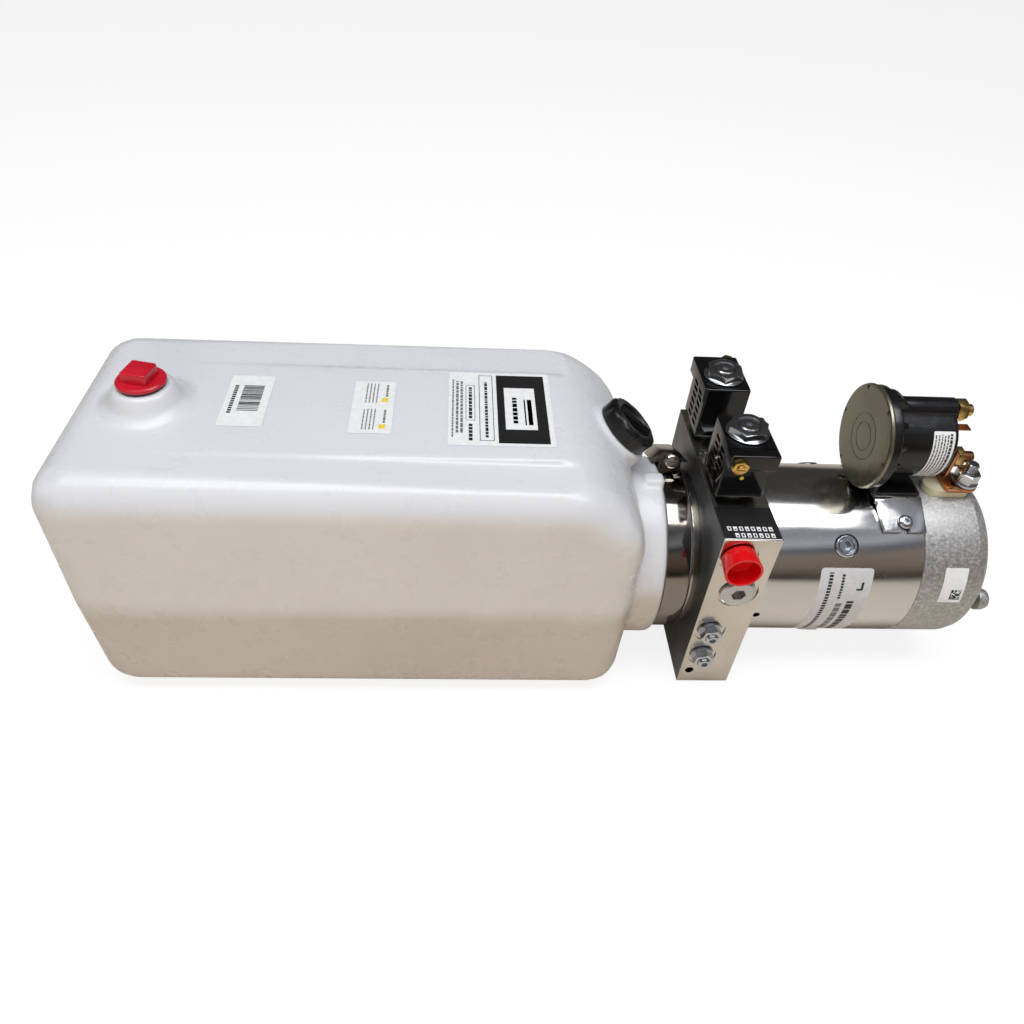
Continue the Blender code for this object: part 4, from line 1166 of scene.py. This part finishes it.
def make_pole_screw(angle):
    names = {45: "pole_screw_front", 225: "pole_screw_rear"}
    name = names.get(angle, f"pole_screw_{angle}")
    place = around(0, angle, 74)
    axis = outward_at(angle)
    profile = [
        (0, 57.0), (4.9, 57.0), (5.3, 57.7), (6.4, 57.7), (7.3, 56.8), (7.4, 54.3), (4, 54.3), (4, 43),
        (0, 43),
    ]
    screw = lathe(f"{name}_form", profile, ZINC, place, axis, X_AXIS, 64, 0.3)
    sink_with_painted_shade(
        screw,
        ring(
            f"{name}_ring", 4.3, 4.9, 56.2, 57.4, None, place, axis=axis, side=X_AXIS, steps=48, edge=0
        ),
        socket(5.6, 54.2, 60, place, axis, X_AXIS),
    )
    if angle in names:
        stand_for(screw, name)
    else:
        trim(screw, "pole_screw_front")


def make_end_cap():
    outer = [(0, 172), (30, 172), (46, 171.4), (52, 169.4), (55.4, 166), (57, 161)]
    outer += [
        (57, 125.2), (50.2, 125.2), (50.2, 163), (21, 163), (21, 154), (16.3, 154), (16.3, 166),
        (0, 166),
    ]
    cap = lathe("motor_end_cap_form", outer, CAST, SHAFT, steps=144, edge=1.2)
    join(cap, ring("brush_ring", 22, 52, 128, 133, None, SHAFT))
    slot = []
    for centre, start in ((154.5, -90), (138.5, 90)):
        slot += arc(7.8, start, start + 180, 10, (centre, 0))
    tools = [prism("terminal_slot", slot, 40, 70, None, (0, -2.5, SHAFT_Z), Z_AXIS, X_AXIS, edge=0)]
    for side in (-1, 1):
        place = (0, side * 47.0, SHAFT_Z)
        tools.append(drill(3.1, 120, 180, place))
        low = (124, -5, SHAFT_Z + side * 32 - 14)
        tools.append(box(f"brush_window_{side}", low, (137, 5, SHAFT_Z + side * 32 + 14), edge=0))
    cut(cap, *tools)
    stand_for(cap, "motor_end_cap")
    for name, side in (("through_bolt_front", -1), ("through_bolt_rear", 1)):
        place = (0, side * 47.0, SHAFT_Z)
        profile = [
            (0, 181), (2.6, 181), (3.2, 179.4), (5.2, 179.2), (6.4, 178.2), (7.2, 175.5), (7.2, 171.7)
        ]
        profile += [(2.7, 171.7), (2.7, 8), (0, 8)]
        stand_for(lathe(f"{name}_form", profile, CAST, place, X_AXIS, edge=0.4), name)


def on_tube(x, reach, lift):
    angle = reach / TUBE_R
    r = TUBE_R + lift
    return (x, -r * math.cos(angle), SHAFT_Z + r * math.sin(angle))


def make_motor_labels():
    low, high = (math.radians(a) * TUBE_R for a in (-36, 31))
    mats = [SILVER_PAPER, INK, GREY_INK]
    marks = []
    marks += words([66.0], low + 3, high - 3, 2.6, 1, 51, 0.7, (1.6, 1.6), False)
    marks += words([74.0], high - 22, high - 4, 1.8, 1, 52, 0.6, (1.2, 1.6), False)
    marks += words([75.5], low + 6, high - 26, 4.0, 2, 53, 0.9, (3.0, 5.0), False)
    marks += words([82.5], low + 4, high - 24, 4.6, 1, 54, 0.8, (3.8, 5.0), False)
    marks += [(86.5, high - 15.5, 88.0, high - 9.5, 1), (83.8, high - 15.5, 88.0, high - 14.2, 1)]
    label("motor_label", "motor_tube", on_tube, (59, low, 93, high), mats, marks, 0.12, 2.5)
    low, high = (math.radians(a) * TUBE_R for a in (7, 32))
    marks = []
    draw = random.Random(71)
    for i in range(9):
        for j in range(9):
            if draw.random() < 0.5:
                u, v = 146.4 + 0.72 * i, low + 3.2 + 0.72 * j
                marks.append((u, v, u + 0.72, v + 0.72, 1))
    marks += [(146.2, low + 2.4, 153.2, low + 3.0, 1), (146.2, low + 2.4, 146.8, low + 10, 1)]
    label(
        "cap_label", "motor_end_cap", on_tube, (139.5, low, 154.5, high), [PAPER, INK], marks, 0.12, 0.8
    )


# ---------------------------------------------------------------- contactor

CONTACTOR = (0.0, 6.0, 158.0)
UPPER_STUD = (0.0, 6.0, 179.6)
LOWER_STUD = (0.0, 4.0, 145.0)


def make_contactor():
    plate = [
        (0, 85.5), (32.6, 85.5), (33, 84.6), (32.6, 83.4), (31.4, 83), (15.2, 83), (14.8, 83.25),
        (14.4, 83), (9.4, 83),
    ]
    plate += [(9.0, 83.25), (8.6, 83), (0, 83)]
    disc = lathe("contactor_plate_form", plate, OLIVE, CONTACTOR, steps=128, edge=0.1)
    tools = []
    for k in range(6):
        angle = math.radians(60 * k + 57)
        at = (0, CONTACTOR[1] + 30.6 * math.cos(angle), CONTACTOR[2] + 30.6 * math.sin(angle))
        tools.append(drill(1.5, 80, 84.1, at, steps=24))
    cut(disc, *tools)
    stand_for(disc, "contactor_plate")
    shell = [
        (0, 131), (20.6, 131), (23.4, 129.6), (24, 127.5), (24, 97), (24.4, 92.5), (26.5, 91.2),
        (31.6, 91.2), (32.2, 90.4),
    ]
    shell += [(32.2, 86.2), (31.8, 85.7), (21.5, 85.7), (21.5, 118), (0, 118)]
    housing = lathe("contactor_housing_form", shell, SHELL_BLACK, CONTACTOR, steps=128, edge=0.5)
    tools = [rod("stud_rib", 7.2, 89, 130.6, at=(0, 6, 180), edge=0.8)]
    curve = [(x, 190.0 - 3.4 * (1 - math.cos((x - 91) * math.pi / 14))) for x in range(91, 106, 2)]
    lobe = [(87, 174), (87, 190)] + curve + [(105, 174)]
    tools.append(prism("rib_lobe", lobe, -6.2, 6.2, None, (0, 6, 0), FRONT, X_AXIS, edge=1.2))
    for angle in (52, 20, -10, -40, 130, 200):
        gusset = [(23, 90.5), (29.6, 90.5), (29.2, 92.2), (23.4, 99.5)]
        out = Vector(outward_at(angle))
        tools.append(
            prism(
                f"gusset_{angle}", gusset, -1.3, 1.3, None, CONTACTOR, out.cross(Vector(X_AXIS)), out,
                edge=0.15,
            ),
        )
    join(housing, *tools)
    cut(
        housing,
        drill(21.5, 80, 118, CONTACTOR),
        drill(4.1, 100, 140, UPPER_STUD),
        drill(4.1, 100, 140, LOWER_STUD),
        box("spade_slot", (100, -5.2, 171.7), (140, 1.2, 173.1), edge=0),
    )
    stand_for(housing, "contactor_housing")
    for name, at, reach, nut, mat in (
        ("terminal_upper", UPPER_STUD, 142.5, (12.5, 131.3, 138), BRASS),
        ("terminal_lower", LOWER_STUD, 158, (12, 144.5, 150.5), COPPER),
    ):
        stud = rod(f"{name}_form", 3.8, 116, reach, mat, at=at, steps=48, edge=0.8)
        stand_for(stud, name)
        nut = hex_prism(f"{name}_nut", *nut, BRASS, at, X_AXIS, both=True, turn=10)
        cut(nut, drill(3.7, 120, 160, at, steps=48))
        trim(nut, name)
    bracket = [(-16, 126.9), (30, 126.9), (30, 146.9), (-16, 146.9)]
    bracket = prism(
        "contactor_bracket_form", bracket, 91.3, 93.9, SHELL_BLACK, (0, 0, 0), X_AXIS, Y_AXIS, 3.0, 0.4
    )
    join(bracket, box("bracket_foot", (92, -14.5, 126.9), (123, 14.5, 129.3), edge=0.5))
    cut(bracket, drill(26.6, 85, 140, CONTACTOR))
    stand_for(bracket, "contactor_bracket")


def make_contactor_label():
    radius = 24.0

    def on_body(x, reach, lift):
        angle = reach / radius
        r = radius + lift
        return (x, CONTACTOR[1] - r * math.cos(angle), CONTACTOR[2] + r * math.sin(angle))

    low, high = (math.radians(a) * radius for a in (-45, 46))
    marks = []
    for k in range(5):
        marks += words([115.4 + 1.9 * k], low + 2, high - 2, 0.8, 1, 80 + k, 0.5, (0.8, 2.4), False)
    marks += words([125.0], low + 1.5, high - 1.5, 1.5, 1, 90, 0.5, (1.4, 2.6), False)
    label(
        "contactor_label", "contactor_housing", on_body, (114, low, 127.3, high), [PAPER, INK], marks,
        0.12, 1.0,
    )


def make_motor_top():
    top = SHAFT_Z + TUBE_R + 0.6
    fold = [(15, top), (34.5, top - 11.3), (35.8, top - 9.1), (15.7, top + 2.5)]
    outline = fold + [(-a, b) for a, b in reversed(fold)]
    saddle = prism(
        "motor_saddle_form", outline, 94, 124.5, BRIGHT, (0, 0, 0), X_AXIS, Y_AXIS, edge=0.35
    )
    axis = outward_at(60)
    place = around(0, 60, 111)
    slot = drill(2.9, 50, 65, place, axis, X_AXIS)
    notch = prism(
        "saddle_slot", [(-2.9, -14), (2.9, -14), (2.9, 0), (-2.9, 0)], 50, 65, None, place, axis,
        X_AXIS, edge=0,
    )
    corner = prism(
        "saddle_notch", [(90, -70), (97.6, -70), (97.6, -33.6), (96.9, -31.6), (95.4, -18), (90, -18)],
        60, 200, None, edge=0,
    )
    cut(saddle, slot, notch, corner)
    stand_for(saddle, "motor_saddle")
    profile = [
        (0, 62.8), (2.6, 62.8), (4.0, 62.2), (4.6, 61.2), (4.6, 60.5), (2.1, 60.5), (2.1, 54.2),
        (0, 54.2),
    ]
    screw = lathe("saddle_screw_form", profile, ZINC, place, axis, X_AXIS, 48, 0.3)
    sink_with_painted_shade(screw, prism("saddle_socket", star(2.0, 1.35), 61.2, 66, None, place, axis, X_AXIS, edge=0))
    stand_for(screw, "saddle_screw")
    slot = []
    for centre, start in ((154.5, -90), (138.5, 90)):
        slot += arc(7.5, start, start + 180, 12, (centre, 0))
    block = prism(
        "terminal_insulator_form", slot, 117.5, 128, CREAM, (0, -2.5, 0), Z_AXIS, X_AXIS, edge=0.6
    )
    stand = (155.5, -4, 0)
    cut(block, drill(4.3, 100, 140, stand, Z_AXIS))
    stand_for(block, "terminal_insulator")
    profile = [(0, 146), (3.2, 146), (4, 145)]
    for k in range(5):
        profile += [(4.0, 144.6 - 0.9 * k), (3.6, 144.15 - 0.9 * k)]
    profile += [(4, 132.6), (8.2, 132.6), (8.2, 131.1), (4, 131.1), (4, 107), (0, 107)]
    stud = lathe("motor_terminal_form", profile, ZINC, stand, Z_AXIS, edge=0.08)
    join(
        stud, hex_prism("motor_terminal_nut", 13, 132.2, 139.8, None, stand, Z_AXIS, both=True, turn=20)
    )
    stand_for(stud, "motor_terminal")
    tab = arc(8.5, -90, 90, 16, (155.5, 0)) + [(141.6, 8.5), (141.6, -8.5)]
    strap = prism("copper_strap_form", tab, 128.3, 130.8, COPPER, (0, -4, 0), Z_AXIS, X_AXIS, edge=0.5)
    join(strap, box("strap_upright", (141.6, -3.5, 128.5), (144.1, 11.5, 153), edge=0.5))
    cut(
        strap,
        drill(4.3, 120, 140, stand, Z_AXIS),
        drill(4.1, 135, 150, LOWER_STUD),
    )
    stand_for(strap, "copper_strap")


def star(outer, inner):
    """The outline of a six-lobed socket."""
    reaches = [outer if k % 2 == 0 else inner for k in range(12)]
    return [
        (r * math.cos(math.pi * k / 6), r * math.sin(math.pi * k / 6)) for k, r in enumerate(reaches)
    ]


# ---------------------------------------------------------------- CAD nodes that stay as they are

KEPT = {
    "neck_seal": RUBBER, "filler_gasket": RUBBER, "tank_plug_seal": RUBBER, "shaft_seal": RUBBER,
    "pump_body": CAST, "pump_cover": CAST, "drive_gear": IRON, "driven_gear": IRON, "suction_tube": BLACK,
    "armature": IRON, "commutator": COPPER, "end_bearing": STEEL, "field_poles": WINDING,
    "brush_upper": CARBON, "brush_lower": CARBON, "contactor_coil": WINDING, "contactor_plunger": ZINC,
    "plunger_front": IRON, "plunger_rear": IRON, "plunger_spring_front": STEEL, "plunger_spring_rear": STEEL,
    "relief_seat_upper": ZINC, "relief_seat_lower": ZINC,
}


def dress_kept_nodes():
    for name, mat in KEPT.items():
        node = frame["nodes"][name]
        node.data.materials.clear()
        node.data.materials.append(mat)


make_tank()
make_tank_labels()
make_filler_cap()
make_tank_plug()
make_clamp()
make_manifold()
make_port_closures()
make_relief("upper")
make_relief("lower")
make_manifold_label()
make_valve("front")
make_valve("rear")
make_motor_tube()
make_end_cap()
make_motor_labels()
make_contactor()
make_contactor_label()
make_motor_top()
dress_kept_nodes()
